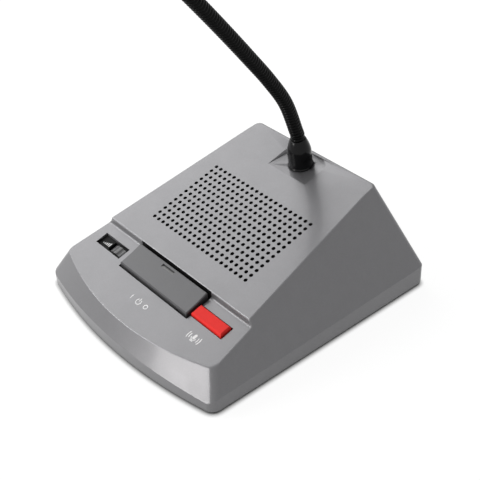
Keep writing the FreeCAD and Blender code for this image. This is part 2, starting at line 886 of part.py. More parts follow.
def mic_key():
    """The red key: a chamfered cap with a stop lip that meets the deck from below."""
    low_front = deck_z(y_mic_front) - mic_key_drop
    low_rear = deck_z(y_mic_rear) - mic_key_drop
    cap = side_profile(
        [
            (y_mic_front, low_front),
            (y_mic_front, deck_z(y_mic_front) + mic_key_rise),
            (y_mic_rear, deck_z(y_mic_rear) + mic_key_rise),
            (y_mic_rear, low_rear),
        ],
        mic_key_left,
        mic_key_right,
    )
    rim = [e for e in cap.Edges if e.BoundBox.ZMin > deck_z(y_mic_front) + mic_key_rise - slip]
    cap = cap.makeChamfer(mic_key_chamfer, rim)
    lip_front = y_mic_front - mic_lip
    lip_rear = y_mic_rear + mic_lip
    lip_top = wall / cos_slope + gap
    lip_bottom = lip_top + mic_lip_thick
    lip = side_profile(
        [
            (lip_front, deck_z(lip_front) - lip_bottom),
            (lip_front, deck_z(lip_front) - lip_top),
            (lip_rear, deck_z(lip_rear) - lip_top),
            (lip_rear, deck_z(lip_rear) - lip_bottom),
        ],
        mic_key_left + mic_lip,
        mic_key_right,
    )
    inner_front = y_mic_front + key_wall
    inner_rear = y_mic_rear - key_wall
    hollow = side_profile(
        [
            (inner_front, low_front - wall),
            (inner_front, deck_z(inner_front) + mic_key_rise - key_wall),
            (inner_rear, deck_z(inner_rear) + mic_key_rise - key_wall),
            (inner_rear, low_front - wall),
        ],
        mic_key_left + key_wall,
        mic_key_right - key_wall,
    )
    pieces = [fused([cap, lip]).cut(hollow)]
    post_top = deck_z(y_mic_middle) + mic_key_rise - key_wall / 2
    for x in (mic_switch_x, mic_spring_x):
        low = Vector(x, y_mic_middle, mic_pusher)
        pieces.append(rod(plunger_r, low, Vector(x, y_mic_middle, post_top), hidden_sides))
    return fused(pieces)


# ---- volume control --------------------------------------------------------
wheel_axis = Vector(0, cos_slope, sin_slope)
y_window = y_front + volume_front + volume_depth / 2
window_centre = Vector(volume_wheel_x, y_window, deck_z(y_window))
wheel_centre = window_centre + Vector(0, sin_slope, -cos_slope) * (volume_wheel_r + volume_wheel_sink)


def deck_plate(y0, y1, x0, x1, top, thick):
    """A plate parallel to the deck, its top that far below the deck."""
    return side_profile(
        [
            (y0, deck_z(y0) - top - thick),
            (y0, deck_z(y0) - top),
            (y1, deck_z(y1) - top),
            (y1, deck_z(y1) - top - thick),
        ],
        x0,
        x1,
    )


def volume_bezel():
    """The black plate in the volume window, slotted for the wheel."""
    play = seat_gap / 3
    y0 = y_front + volume_front + play
    y1 = y0 + volume_depth - 2 * play
    x0 = volume_left + play
    x1 = volume_right - play
    plate = deck_plate(y0, y1, x0, x1, volume_plate_sink, bezel_thick)
    rim = bezel_flange
    under = wall / cos_slope + play
    flange = deck_plate(y0 - rim, y1 + rim, x0 - rim, x1 + rim, under, rim)
    depth = under + rim - volume_wheel_sink
    half_chord = math.sqrt(2 * volume_wheel_r * depth - depth ** 2) + gap
    half_slot = volume_wheel_width / 2 + gap
    slot = box(-half_chord, half_chord, -half_slot, half_slot, 0, above_body)
    slot.Placement = Placement(wheel_centre, slope_tilt)
    return fused([plate, flange]).cut(slot)


def volume_wheel():
    """The ribbed wheel, turned with the thumb."""
    corners = []
    steps = 4 * volume_ribs
    for i in range(steps):
        turn = 2 * math.pi * i / steps
        r = volume_wheel_r - (volume_rib_depth if i % 4 in (2, 3) else 0)
        corners.append(Vector(r * math.cos(turn), r * math.sin(turn), 0))
    wheel = Part.Face(Part.makePolygon(corners + corners[:1])).extrude(Vector(0, 0, volume_wheel_width))
    wheel = wheel.cut(Part.makeCylinder(pot_shaft_r, volume_wheel_width))
    base = wheel_centre - wheel_axis * (volume_wheel_width / 2)
    wheel.Placement = Placement(base, Rotation(Vector(0, 0, 1), wheel_axis))
    return wheel


pot_face = wheel_centre + wheel_axis * (volume_wheel_width / 2 + gap)


def volume_shaft():
    """The pot's shaft, pressed into the wheel."""
    start = wheel_centre - wheel_axis * (volume_wheel_width / 2)
    return rod(pot_shaft_r, start, pot_face + wheel_axis * (pot_thick - pot_floor - gap))


def volume_pot():
    """The volume control's body, behind the wheel, with a foot on the board."""
    half = pot_side / 2
    body = box(-half, half, -half, half, 0, pot_thick)
    body.Placement = Placement(pot_face, Rotation(Vector(1, 0, 0), slope_angle - 90))
    y0 = notch_rear + seat_gap
    x0 = volume_wheel_x - pot_foot_width / 2
    foot = box(x0, x0 + pot_foot_width, y0, y0 + pot_foot_depth, board_top, board_top + pot_foot_height)
    bore = rod(pot_shaft_r + slip, pot_face - wheel_axis, pot_face + wheel_axis * (pot_thick - pot_floor))
    return fused([body, foot]).cut(bore)


# ---- speaker ---------------------------------------------------------------
def speaker_solid(points):
    """A turned piece of the speaker: heights count down from its seat on the bosses."""
    outline = [Vector(r, 0, -h) for r, h in points]
    face = Part.Face(Part.makePolygon(outline + outline[:1]))
    solid = face.revolve(Vector(0, 0, 0), Vector(0, 0, 1), 360)
    solid.Placement = slope_place(0, speaker_up, speaker_seat)
    return solid


def speaker_frame():
    """The pressed steel basket with its square flange."""
    half = speaker_flange_half
    t = speaker_flange_thick
    flange = box(-half, half, -half, half, -t, 0)
    corners = [e for e in flange.Edges if abs(e.Vertexes[0].Z - e.Vertexes[1].Z) > t / 2]
    flange = flange.makeChamfer(flange_corner, corners)
    flange.Placement = slope_place(0, speaker_up, speaker_seat)
    throat = cone_throat_r + throat_gap
    bowl = speaker_solid([
        (0, 0),
        (cone_rim_r + t, 0),
        (cone_rim_r + t, basket_rim),
        (magnet_r + 2 * t, basket_depth),
        (0, basket_depth),
    ])
    inside = speaker_solid([
        (0, -t),
        (cone_rim_r, -t),
        (cone_rim_r, basket_rim),
        (magnet_r + t, basket_depth - t),
        (throat, basket_depth - t),
        (throat, basket_depth + t),
        (0, basket_depth + t),
    ])
    cutters = [inside]
    for x, up in speaker_places():
        low = speaker_seat - 2 * t
        cutters.append(slope_rod(speaker_screw_r + slip, x, up, low, speaker_seat + t, hidden_sides))
    return fused([flange, bowl]).cut(cutters)


def speaker_cone():
    """The paper cone, glued by its rim inside the basket's mouth."""
    t = cone_thick
    return speaker_solid([
        (cone_throat_r, cone_depth),
        (cone_rim_r - t, cone_sink),
        (cone_rim_r, cone_sink),
        (cone_rim_r, cone_sink + t),
        (cone_rim_r - 2 * t, cone_sink + t),
        (cone_throat_r, cone_depth + t),
    ])


def speaker_dust_cap():
    """The small dome over the voice coil."""
    low = cone_depth + cone_thick
    rim = cone_throat_r - seat_gap
    return speaker_solid([
        (0, low - cap_rise),
        (rim / 2, low - cap_rise + cone_thick),
        (rim, low - cone_thick),
        (rim, low),
        (0, low),
    ])


def speaker_magnet():
    """The ring magnet behind the basket."""
    return speaker_solid([
        (cone_throat_r, basket_depth), (magnet_r, basket_depth), (magnet_r, basket_depth + magnet_height),
        (cone_throat_r, basket_depth + magnet_height),
    ])


def speaker_yoke():
    """The steel back plate and pole."""
    back = basket_depth + magnet_height
    pole = cone_depth + cone_thick + gap
    pole_r = cone_throat_r - pole_gap
    return speaker_solid([
        (0, pole), (pole_r, pole), (pole_r, back), (magnet_r - yoke_step, back),
        (magnet_r - yoke_step, back + yoke_height), (0, back + yoke_height),
    ])


def speaker_screws():
    """Four screws that hold the speaker under the slope."""
    over = Vector(0, -sin_slope, cos_slope)
    under = speaker_seat - speaker_flange_thick - speaker_screw_head
    head = (speaker_screw_head_r, speaker_screw_head)
    shank = (speaker_screw_r, speaker_boss_height + speaker_flange_thick)
    places = [on_slope(x, up, under) for x, up in speaker_places()]
    return Part.makeCompound([screw(*head, *shank, place, over) for place in places])


def grille_cloth():
    """Black cloth behind the sound holes."""
    half_x = hole_pitch * (hole_columns - 1) / 2 + cloth_margin
    half_y = hole_pitch * (hole_rows - 1) / 2 + cloth_margin
    half_y = min(half_y, speaker_boss_offset - speaker_boss_r - gap)
    cloth = Part.makeBox(2 * half_x, 2 * half_y, cloth_thick, Vector(-half_x, -half_y, -cloth_thick))
    cloth.Placement = slope_place(0, speaker_up, -wall)
    return cloth


# ---- rear sockets ----------------------------------------------------------
y_panel = y_rear - panel_inset
z_socket = board_top + socket_lift


def socket_panel():
    """The black panel that the two sockets show through."""
    z0 = panel_bottom + seat_gap
    z1 = panel_bottom + panel_height - seat_gap
    half = panel_half - seat_gap
    plate = box(-half, half, y_panel - panel_thick, y_panel, z0, z1)
    holes = []
    for x, nose_r in ((line_socket_x, line_nose_r), (dc_socket_x, dc_nose_r)):
        start = Vector(x, y_panel - 2 * panel_thick, z_socket)
        holes.append(rod(nose_r + slip, start, Vector(x, y_rear, z_socket)))
    return plate.cut(holes)


def socket_block(x, nose_r):
    """A socket's square body on the board with its round nose in the panel."""
    y1 = y_panel - panel_thick - seat_gap
    half = socket_body_width / 2
    body = box(x - half, x + half, y1 - socket_body_depth, y1, board_top, board_top + socket_body_height)
    nose = rod(nose_r, Vector(x, y1 - panel_thick / 2, z_socket), Vector(x, y_panel, z_socket))
    return fused([body, nose])


def line_socket():
    """The round socket for the lead to the customer's unit."""
    mouth = Vector(line_socket_x, y_panel, z_socket)
    bore = rod(line_bore_r, mouth - Vector(0, line_bore_length, 0), mouth)
    return socket_block(line_socket_x, line_nose_r).cut(bore)


def dc_socket():
    """The power inlet, a round mouth with a centre pin."""
    mouth = Vector(dc_socket_x, y_panel, z_socket)
    floor = mouth - Vector(0, dc_mouth_depth, 0)
    hollow = rod(dc_mouth_r, floor, mouth)
    pin = rod(dc_pin_r, floor, mouth - Vector(0, dc_pin_sink, 0))
    return fused([socket_block(dc_socket_x, dc_nose_r).cut(hollow), pin])


# ---- neck ------------------------------------------------------------------
def lean_at(distance):
    """Lean of the neck from upright, at a distance along it from the collar's top."""
    if distance < bend_knee:
        share = distance / bend_knee
        return bend_lean_start + (bend_lean_knee - bend_lean_start) * share
    share = (distance - bend_knee) / (links * link_length - bend_knee)
    return bend_lean_knee + (bend_lean_end - bend_lean_knee) * share


def along(distance):
    """Unit vector of the neck's line at a distance from the collar's top."""
    lean = math.radians(lean_at(distance))
    return Vector(0, -math.sin(lean), math.cos(lean))


def neck_point(distance):
    """The neck's centre line, summed in short steps from the collar's top."""
    steps = max(1, round(distance))
    step = distance / steps
    point = collar_base + collar_axis * collar_height
    for i in range(steps):
        point = point + along((i + 0.5) * step) * step
    return point


joint_at = [link_length * (i + 0.5) for i in range(links)]
joint_points = [neck_point(d) for d in joint_at]
neck_end = neck_point(links * link_length)


def hinge_at(index):
    """A joint's axis: the odd links nod fore and aft, the even ones sway sideways."""
    if index % 2 == 0:
        return Vector(1, 0, 0)
    return Vector(1, 0, 0).cross(along(joint_at[index])) * -1


def end_relief(point, outward, hinge):
    """What is cut from a link's end so that it can swing about hinge on the next one."""
    half_swing = math.radians(link_swing / 2 + link_relief)
    reach = 2 * neck_r
    back = link_end_gap + reach * math.tan(half_swing)
    across = hinge.cross(outward)
    outline = [(-reach, -back), (0, -link_end_gap), (reach, -back), (reach, reach), (-reach, reach)]
    corners = [point - hinge * reach + across * side + outward * out for side, out in outline]
    return Part.Face(Part.makePolygon(corners + corners[:1])).extrude(hinge * 2 * reach)


def ribbed_bar(start, end):
    """A straight stretch of neck with ribs round it."""
    length = (end - start).Length
    ribs = max(1, round(length * ribs_per_link / link_length))
    half_pitch = length / ribs / 2
    rings = []
    for i in range(2 * ribs + 1):
        r = neck_r if i % 2 else neck_r - rib_depth
        rings.append(ring(r, i * half_pitch, neck_sides))
    bar = Part.makeLoft(rings, True, True)
    bar.Placement = Placement(start, Rotation(Vector(0, 0, 1), end - start))
    return bar


def neck_link(index):
    """One link, from its joint to the next one or to the microphone."""
    start = joint_points[index]
    last = index == links - 1
    end = neck_end if last else joint_points[index + 1]
    link = ribbed_bar(start, end)
    link = link.cut(end_relief(start, along(joint_at[index]) * -1, hinge_at(index)))
    if not last:
        link = link.cut(end_relief(end, along(joint_at[index + 1]), hinge_at(index + 1)))
    return link


def neck_base():
    """The stretch of neck held by the collar, with the threaded stem below it."""
    top = collar_base + collar_axis * collar_height
    stem = rod(neck_r, collar_base - collar_axis * stem_below_seat, top)
    first = joint_points[0]
    bar = ribbed_bar(top - collar_axis * rib_depth, first)
    return fused([stem, bar]).cut(end_relief(first, along(joint_at[0]), hinge_at(0)))


def neck_collar():
    """The glossy black sleeve round the foot of the neck."""
    bore = neck_r + slip
    outline = [
        (bore, 0),
        (collar_foot_r, 0),
        (collar_foot_r, collar_edge),
        (collar_r, collar_foot_height),
        (collar_r, collar_shoulder),
        (collar_top_r + collar_edge, collar_height - collar_edge),
        (collar_top_r, collar_height),
        (bore, collar_height),
    ]
    return turned(outline, collar_base, collar_axis)


def neck_washer():
    """The washer under the seat."""
    bore = neck_r + slip
    base = collar_base - collar_axis * (wall + washer_thick)
    outline = [(bore, 0), (washer_r, 0), (washer_r, washer_thick), (bore, washer_thick)]
    return turned(outline, base, collar_axis)


def neck_nut():
    """The hexagon nut that clamps the stem."""
    top = collar_base - collar_axis * (wall + washer_thick)
    base = top - collar_axis * nut_height
    nut = rod(nut_across_flats / 2 / math.cos(math.pi / 6), base, top, 6)
    return nut.cut(rod(neck_r + slip, base, top))


# ---- microphone head -------------------------------------------------------
head_axis = along(links * link_length)


def mic_ferrule():
    """The tapered sleeve between neck and head."""
    bore = neck_r + slip
    outline = [
        (0, slip),
        (bore, slip),
        (bore, -ferrule_overlap),
        (neck_r + ferrule_skin, -ferrule_overlap),
        (head_r, ferrule_length),
        (0, ferrule_length),
    ]
    return turned(outline, neck_end, head_axis)


barrel_end = ferrule_length + head_body_length
barrel_shoulder = barrel_end - head_spigot


def mic_body():
    """The barrel of the head, with a pocket for the capsule and a spigot for the cap."""
    pocket = capsule_r + slip
    outline = [
        (0, ferrule_length),
        (head_r, ferrule_length),
        (head_r, barrel_shoulder),
        (head_r - head_skin, barrel_shoulder),
        (head_r - head_skin, barrel_end),
        (pocket, barrel_end),
        (pocket, barrel_end - capsule_height),
        (0, barrel_end - capsule_height),
    ]
    return turned(outline, neck_end, head_axis)


def mic_capsule():
    """The microphone capsule in the barrel's mouth."""
    low = neck_end + head_axis * (barrel_end - capsule_height)
    return rod(capsule_r, low, neck_end + head_axis * barrel_end)


def mic_cap():
    """The slotted cap over the capsule."""
    end = barrel_end + head_cap_length
    nose = end - cap_nose
    bore = head_r - head_skin + slip
    inner = head_r - cap_wall
    outline = [
        (bore, barrel_shoulder),
        (head_r, barrel_shoulder),
        (head_r, nose),
        (head_r - cap_nose_in, end),
        (0, end),
        (0, end - cap_wall),
        (inner - cap_nose_in + cap_wall / 2, end - cap_wall),
        (inner, nose),
        (inner, barrel_end + gap),
        (bore, barrel_end + gap),
    ]
    cap = turned(outline, neck_end, head_axis)
    half = head_slot_width / 2
    slot_low = barrel_end + head_slot_margin
    slot = box(inner - cap_wall, head_r + cap_wall, -half, half, slot_low, nose - head_slot_margin)
    head_turn = Rotation(Vector(0, 0, 1), head_axis)
    slots = []
    for i in range(head_cap_slots):
        turned_slot = slot.copy()
        spin = Rotation(Vector(0, 0, 1), 360 * i / head_cap_slots)
        turned_slot.Placement = Placement(neck_end, head_turn.multiply(spin))
        slots.append(turned_slot)
    return cap.cut(slots)


# ---- output ----------------------------------------------------------------
nodes = {
    "upper_housing": upper_housing,
    "base_plate": base_plate,
    "rubber_feet": rubber_feet,
    "housing_screws": housing_screws,
    "ballast_plate": ballast_plate,
    "main_board": main_board,
    "board_screws": board_screws,
    "board_capacitors": board_capacitors,
    "amplifier_chip": amplifier_chip,
    "heat_sink": heat_sink,
    "power_key": power_key,
    "power_lens": power_lens,
    "power_key_pin": power_key_pin,
    "power_lamp": power_lamp,
    "power_switch": lambda: switch_body(power_switch_x, y_power_switch),
    "power_plunger": lambda: plunger(power_switch_x, y_power_switch, power_pusher - gap, power_travel),
    "power_spring": lambda: leaf_spring(power_spring_x, y_power_switch, board_top, power_pusher - gap),
    "mic_key": mic_key,
    "mic_switch": lambda: switch_body(mic_switch_x, y_mic_middle),
    "mic_plunger": lambda: plunger(mic_switch_x, y_mic_middle, mic_pusher - gap, mic_key_travel),
    "mic_spring": lambda: leaf_spring(mic_spring_x, y_mic_middle, board_top, mic_pusher - gap),
    "volume_bezel": volume_bezel,
    "volume_wheel": volume_wheel,
    "volume_shaft": volume_shaft,
    "volume_pot": volume_pot,
    "grille_cloth": grille_cloth,
    "speaker_frame": speaker_frame,
    "speaker_cone": speaker_cone,
    "speaker_dust_cap": speaker_dust_cap,
    "speaker_magnet": speaker_magnet,
    "speaker_yoke": speaker_yoke,
    "speaker_screws": speaker_screws,
    "socket_panel": socket_panel,
    "line_socket": line_socket,
    "dc_socket": dc_socket,
    "neck_collar": neck_collar,
    "neck_washer": neck_washer,
    "neck_nut": neck_nut,
    "neck_base": neck_base,
    "mic_ferrule": mic_ferrule,
    "mic_body": mic_body,
    "mic_capsule": mic_capsule,
    "mic_cap": mic_cap,
}

for name, make in nodes.items():
    make().exportStep("parts/" + name + ".step")
for index in range(links):
    neck_link(index).exportStep("parts/neck_link_" + str(index + 1) + ".step")
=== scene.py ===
"""The looks of a counter intercom: a wedge-shaped desk unit with a bendable microphone neck."""

import json
import logging
import math
from collections.abc import Callable
from dataclasses import dataclass, field
from enum import Enum

import bmesh
import bpy
from mathutils import Matrix, Vector
from mathutils.bvhtree import BVHTree

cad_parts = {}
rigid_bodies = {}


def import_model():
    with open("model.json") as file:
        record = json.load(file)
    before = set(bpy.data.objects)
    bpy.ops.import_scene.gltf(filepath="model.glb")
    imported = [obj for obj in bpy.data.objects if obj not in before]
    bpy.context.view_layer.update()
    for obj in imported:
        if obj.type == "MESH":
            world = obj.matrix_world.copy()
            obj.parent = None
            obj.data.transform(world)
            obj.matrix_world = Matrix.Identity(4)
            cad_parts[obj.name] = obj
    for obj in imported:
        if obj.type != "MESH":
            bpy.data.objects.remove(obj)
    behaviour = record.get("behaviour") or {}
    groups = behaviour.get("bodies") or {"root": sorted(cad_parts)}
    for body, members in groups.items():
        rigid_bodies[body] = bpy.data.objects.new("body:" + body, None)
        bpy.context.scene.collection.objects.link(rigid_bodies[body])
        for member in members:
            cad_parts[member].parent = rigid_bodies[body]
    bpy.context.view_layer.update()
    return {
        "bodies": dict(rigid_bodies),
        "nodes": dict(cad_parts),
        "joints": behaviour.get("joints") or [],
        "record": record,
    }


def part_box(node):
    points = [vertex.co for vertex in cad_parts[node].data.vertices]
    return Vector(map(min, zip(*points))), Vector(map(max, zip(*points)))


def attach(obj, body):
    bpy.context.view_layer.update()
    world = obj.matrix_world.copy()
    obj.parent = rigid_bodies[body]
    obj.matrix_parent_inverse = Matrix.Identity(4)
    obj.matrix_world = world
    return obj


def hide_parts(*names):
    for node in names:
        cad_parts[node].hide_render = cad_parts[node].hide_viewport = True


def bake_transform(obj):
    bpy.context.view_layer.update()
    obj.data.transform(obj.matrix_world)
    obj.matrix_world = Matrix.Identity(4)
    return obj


log = logging.getLogger("intercom")

MM = 0.001
TINY = 1e-9
SURFACE_IOR = 1.5
Triple = tuple[float, float, float]
Colour = Triple
Pair = tuple[float, float]


class Body(str, Enum):
    """The body that the still pieces of this scene ride on."""

    HOUSING = "housing"


class Pattern(Enum):
    """The kinds of surface that the finishes tell apart."""

    PAINT = "paint"
    MOULDED = "moulded"
    METAL = "metal"
    WOVEN = "woven"
    FIBRE = "fibre"
    CIRCUIT = "circuit"


# ---- shader building ----
class Sheet:
    """Adds nodes to one node tree and links them."""

    def __init__(self, tree: bpy.types.NodeTree) -> None:
        """Starts on a tree.

        Args:
            tree: The material's or group's node tree.
        """
        self.tree = tree

    def add(self, kind: str, **settings: object) -> bpy.types.Node:
        """Adds a node.

        Args:
            kind: The node's type name.
            settings: Properties of the node, by name.

        Returns:
            The new node.
        """
        node = self.tree.nodes.new(kind)
        for name, value in settings.items():
            setattr(node, name, value)
        return node

    def put(self, socket: bpy.types.NodeSocket, value: object) -> None:
        """Sets an input socket to a value, or links it where the value is an output socket.

        Args:
            socket: The input socket.
            value: The value or the output socket.
        """
        if isinstance(value, bpy.types.NodeSocket):
            self.tree.links.new(value, socket)
        else:
            socket.default_value = value

    def feed(self, node: bpy.types.Node, **inputs: object) -> bpy.types.Node:
        """Sets or links a node's inputs.

        Args:
            node: The node to feed.
            inputs: Socket names, with underscores for spaces, and a value or an output socket for each.

        Returns:
            The same node.
        """
        for name, value in inputs.items():
            self.put(node.inputs[name.replace("_", " ")], value)
        return node

    def place(self) -> bpy.types.NodeSocket:
        """The place on the object, in metres."""
        return self.add("ShaderNodeTexCoord").outputs["Object"]

    def maths(self, operation: str, first: object, second: object = 0.0) -> bpy.types.NodeSocket:
        """Adds a Math node.

        Args:
            operation: The node's operation.
            first: A value or an output socket.
            second: The same for the second input.

        Returns:
            The node's output.
        """
        node = self.add("ShaderNodeMath", operation=operation)
        self.put(node.inputs[0], first)
        self.put(node.inputs[1], second)
        return node.outputs[0]

    def ramp(self, value: bpy.types.NodeSocket, low: float, high: float, out: Pair) -> bpy.types.NodeSocket:
        """Maps a value's range to another, held at its ends.

        Args:
            value: The value to map.
            low: Where the range starts.
            high: Where it ends.
            out: The results at the two ends.

        Returns:
            The mapped value.
        """
        node = self.add("ShaderNodeMapRange")
        self.feed(node, Value=value, From_Min=low, From_Max=high, To_Min=out[0], To_Max=out[1])
        return node.outputs[0]

    def noise(self, place: bpy.types.NodeSocket, scale: object, detail: float, roughness: float,
              distortion: float = 0.0) -> bpy.types.NodeSocket:
        """A smooth random pattern.

        Args:
            place: The place that it follows.
            scale: Its marks to the metre.
            detail: How many finer layers lie over it.
            roughness: How much each finer layer weighs.
            distortion: How much it is swirled.

        Returns:
            The pattern, about a half.
        """
        node = self.add("ShaderNodeTexNoise")
        self.feed(node, Vector=place, Scale=scale, Detail=detail, Roughness=roughness, Distortion=distortion)
        return node.outputs["Fac"]

    def stretched(self, scale: Triple, turn: float = 0.0) -> bpy.types.NodeSocket:
        """The place on the object, scaled so that marks come out long and thin.

        Args:
            scale: How much closer marks lie along x, y and z.
            turn: How far it is turned about z.

        Returns:
            The stretched place.
        """
        node = self.add("ShaderNodeMapping")
        self.feed(node, Vector=self.place(), Scale=scale, Rotation=(0.0, 0.0, turn))
        return node.outputs["Vector"]

    def effect(self, effect: "Effect", **inputs: float) -> bpy.types.Node:
        """Adds a shared effect.

        Args:
            effect: The effect.
            inputs: Its inputs.

        Returns:
            The group's node.
        """
        return self.feed(self.add("ShaderNodeGroup", node_tree=effect.group()), **inputs)


Given = bpy.types.NodeOutputs
Drawn = dict[str, bpy.types.NodeSocket]


@dataclass(frozen=True)
class Effect:
    """A surface effect that finishes share: one shader node group with float sockets."""

    name: str
    inputs: dict[str, float]
    outputs: tuple[str, ...]
    draw: Callable[[Sheet, Given], Drawn]

    def group(self) -> bpy.types.NodeTree:
        """The effect's node group, drawn on its first use.

        Returns:
            The group.
        """
        found = bpy.data.node_groups.get(self.name)
        if found:
            return found
        tree = bpy.data.node_groups.new(self.name, "ShaderNodeTree")
        for label, default in self.inputs.items():
            socket = tree.interface.new_socket(label, in_out="INPUT", socket_type="NodeSocketFloat")
            socket.default_value = default
        for label in self.outputs:
            tree.interface.new_socket(label, in_out="OUTPUT", socket_type="NodeSocketFloat")
        sheet = Sheet(tree)
        given = sheet.add("NodeGroupInput").outputs
        sheet.feed(sheet.add("NodeGroupOutput"), **self.draw(sheet, given))
        return tree


def draw_grain(sheet: Sheet, given: Given) -> Drawn:
    """Draws fine moulded or sprayed grain, with slower waviness under it.

    Args:
        sheet: The group's sheet.
        given: Grain and Wave, both in marks to the metre.

    Returns:
        Height, the relief, and Mask, the waviness alone.
    """
    fine_share = 0.7
    place = sheet.place()
    fine = sheet.noise(place, given["Grain"], detail=2.0, roughness=0.55)
    slow = sheet.noise(place, given["Wave"], detail=3.0, roughness=0.5)
    fine_part = sheet.maths("MULTIPLY", fine, fine_share)
    slow_part = sheet.maths("MULTIPLY", slow, 1 - fine_share)
    return {"Height": sheet.maths("ADD", fine_part, slow_part), "Mask": slow}


def draw_flecks(sheet: Sheet, given: Given) -> Drawn:
    """Draws metal flakes in paint: small cells, each a little lighter or darker.

    Args:
        sheet: The group's sheet.
        given: Flakes, to the metre, and Amount, from the darkest to the lightest.

    Returns:
        Shade, about 1.
    """
    average = 0.5
    cells = sheet.add("ShaderNodeTexVoronoi", feature="F1")
    sheet.feed(cells, Vector=sheet.place(), Scale=given["Flakes"])
    split = sheet.feed(sheet.add("ShaderNodeSeparateColor"), Color=cells.outputs["Color"])
    away = sheet.maths("SUBTRACT", split.outputs["Red"], average)
    return {"Shade": sheet.maths("ADD", sheet.maths("MULTIPLY", away, given["Amount"]), 1.0)}


def draw_smudges(sheet: Sheet, given: Given) -> Drawn:
    """Draws handling marks: broad soft patches and a few fine hairline streaks.

    Args:
        sheet: The group's sheet.
        given: Patches, to the metre.

    Returns:
        Mask, from 0 to 1.
    """
    patches = sheet.noise(sheet.place(), given["Patches"], detail=5.0, roughness=0.6, distortion=0.8)
    along = sheet.stretched((1.0, 14.0, 6.0), turn=0.5)
    hairs = sheet.noise(along, given["Patches"], detail=6.0, roughness=0.7)
    broad = sheet.ramp(patches, 0.42, 0.68, (0.0, 0.8))
    streaks = sheet.ramp(hairs, 0.6, 0.75, (0.0, 0.2))
    return {"Mask": sheet.maths("ADD", broad, streaks)}


def draw_weave(sheet: Sheet, given: Given) -> Drawn:
    """Draws an over-and-under weave.

    Args:
        sheet: The group's sheet.
        given: Threads, to the metre.

    Returns:
        Height, the relief.
    """
    waves = []
    for direction in ("X", "Y"):
        wave = sheet.add("ShaderNodeTexWave", wave_type="BANDS", bands_direction=direction)
        sheet.feed(wave, Vector=sheet.place(), Scale=given["Threads"], Distortion=0.4, Detail=1.0)
        waves.append(wave.outputs["Fac"])
    return {"Height": sheet.maths("MAXIMUM", *waves)}


GRAIN = Effect("surface_grain", {"Grain": 2500.0, "Wave": 160.0}, ("Height", "Mask"), draw_grain)
FLECKS = Effect("paint_flecks", {"Flakes": 3000.0, "Amount": 0.1}, ("Shade",), draw_flecks)
SMUDGES = Effect("handling_smudges", {"Patches": 45.0}, ("Mask",), draw_smudges)
WEAVE = Effect("plain_weave", {"Threads": 1400.0}, ("Height",), draw_weave)
STREAKS = {Pattern.METAL: (1.0, 18.0, 18.0), Pattern.FIBRE: (1.0, 3.0, 3.0)}


@dataclass(frozen=True)
class Finish:
    """One finish, with its colour, its gloss and the texture that the real surface has."""

    name: str
    colour: Colour
    roughness: float
    pattern: Pattern = Pattern.MOULDED
    metallic: float = 0.0
    coat: float = 0.0
    coat_roughness: float = 0.08
    specular: float = 0.5
    grain: float = 2500.0
    wave: float = 160.0
    bump: float = 0.06
    bump_height: float = 0.00006
    shade_change: float = 0.05
    gloss_change: float = 0.06
    flakes: float = 3000.0
    fleck_strength: float = 4.0     # how much the flakes vary, against shade_change
    streak_spacing: float = 8.0     # how far apart streaks lie, against the marks of the grain

    def material(self) -> bpy.types.Material:
        """The finish as a material, built on its first use.

        Returns:
            The material.
        """
        name = self.name + "_finish"
        found = bpy.data.materials.get(name)
        if found:
            return found
        material = bpy.data.materials.new(name)
        material.use_nodes = True
        sheet = Sheet(material.node_tree)
        shader = material.node_tree.nodes["Principled BSDF"]
        grain = sheet.effect(GRAIN, Grain=self.grain, Wave=self.wave)
        gloss = sheet.maths("MULTIPLY", sheet.effect(SMUDGES).outputs["Mask"], self.gloss_change)
        rough = sheet.maths("ADD", gloss, self.roughness - self.gloss_change / 2)
        bump = sheet.add("ShaderNodeBump")
        sheet.feed(bump, Strength=self.bump, Distance=self.bump_height, Height=self.height(sheet, grain))
        tint = sheet.add("ShaderNodeVectorMath", operation="SCALE")
        sheet.put(tint.inputs[0], self.colour)
        sheet.feed(tint, Scale=self.shade(sheet, grain))
        sheet.feed(shader, Base_Color=tint.outputs["Vector"], Roughness=rough, Normal=bump.outputs["Normal"])
        sheet.feed(shader, Metallic=self.metallic, IOR=SURFACE_IOR, Specular_IOR_Level=self.specular)
        sheet.feed(shader, Coat_Weight=self.coat, Coat_Roughness=self.coat_roughness)
        return material

    def shade(self, sheet: Sheet, grain: bpy.types.Node) -> bpy.types.NodeSocket:
        """How light the surface is from place to place.

        Args:
            sheet: The material's sheet.
            grain: The material's grain group.

        Returns:
            A shade about 1.
        """
        slow = sheet.ramp(grain.outputs["Mask"], 0.3, 0.7, (1 - self.shade_change, 1 + self.shade_change))
        if self.pattern is Pattern.PAINT:
            flecks = sheet.effect(FLECKS, Flakes=self.flakes, Amount=self.fleck_strength * self.shade_change)
            return sheet.maths("MULTIPLY", slow, flecks.outputs["Shade"])
        if self.pattern is Pattern.CIRCUIT:
            tracks = sheet.add("ShaderNodeTexBrick", offset=0.37)
            sheet.feed(tracks, Vector=sheet.place(), Scale=220.0, Mortar_Size=0.06, Mortar=(1.7, 1.7, 1.7, 1),
                       Color1=(1, 1, 1, 1), Color2=(0.8, 0.8, 0.8, 1))
            return sheet.maths("MULTIPLY", slow, tracks.outputs["Color"])
        return slow

    def height(self, sheet: Sheet, grain: bpy.types.Node) -> bpy.types.NodeSocket:
        """The relief that the bump follows.

        Args:
            sheet: The material's sheet.
            grain: The material's grain group.

        Returns:
            The height over the surface.
        """
        if self.pattern is Pattern.WOVEN:
            return sheet.effect(WEAVE).outputs["Height"]
        if self.pattern in STREAKS:
            along = sheet.stretched(STREAKS[self.pattern])
            return sheet.noise(along, self.grain / self.streak_spacing, detail=4.0, roughness=0.65)
        return grain.outputs["Height"]


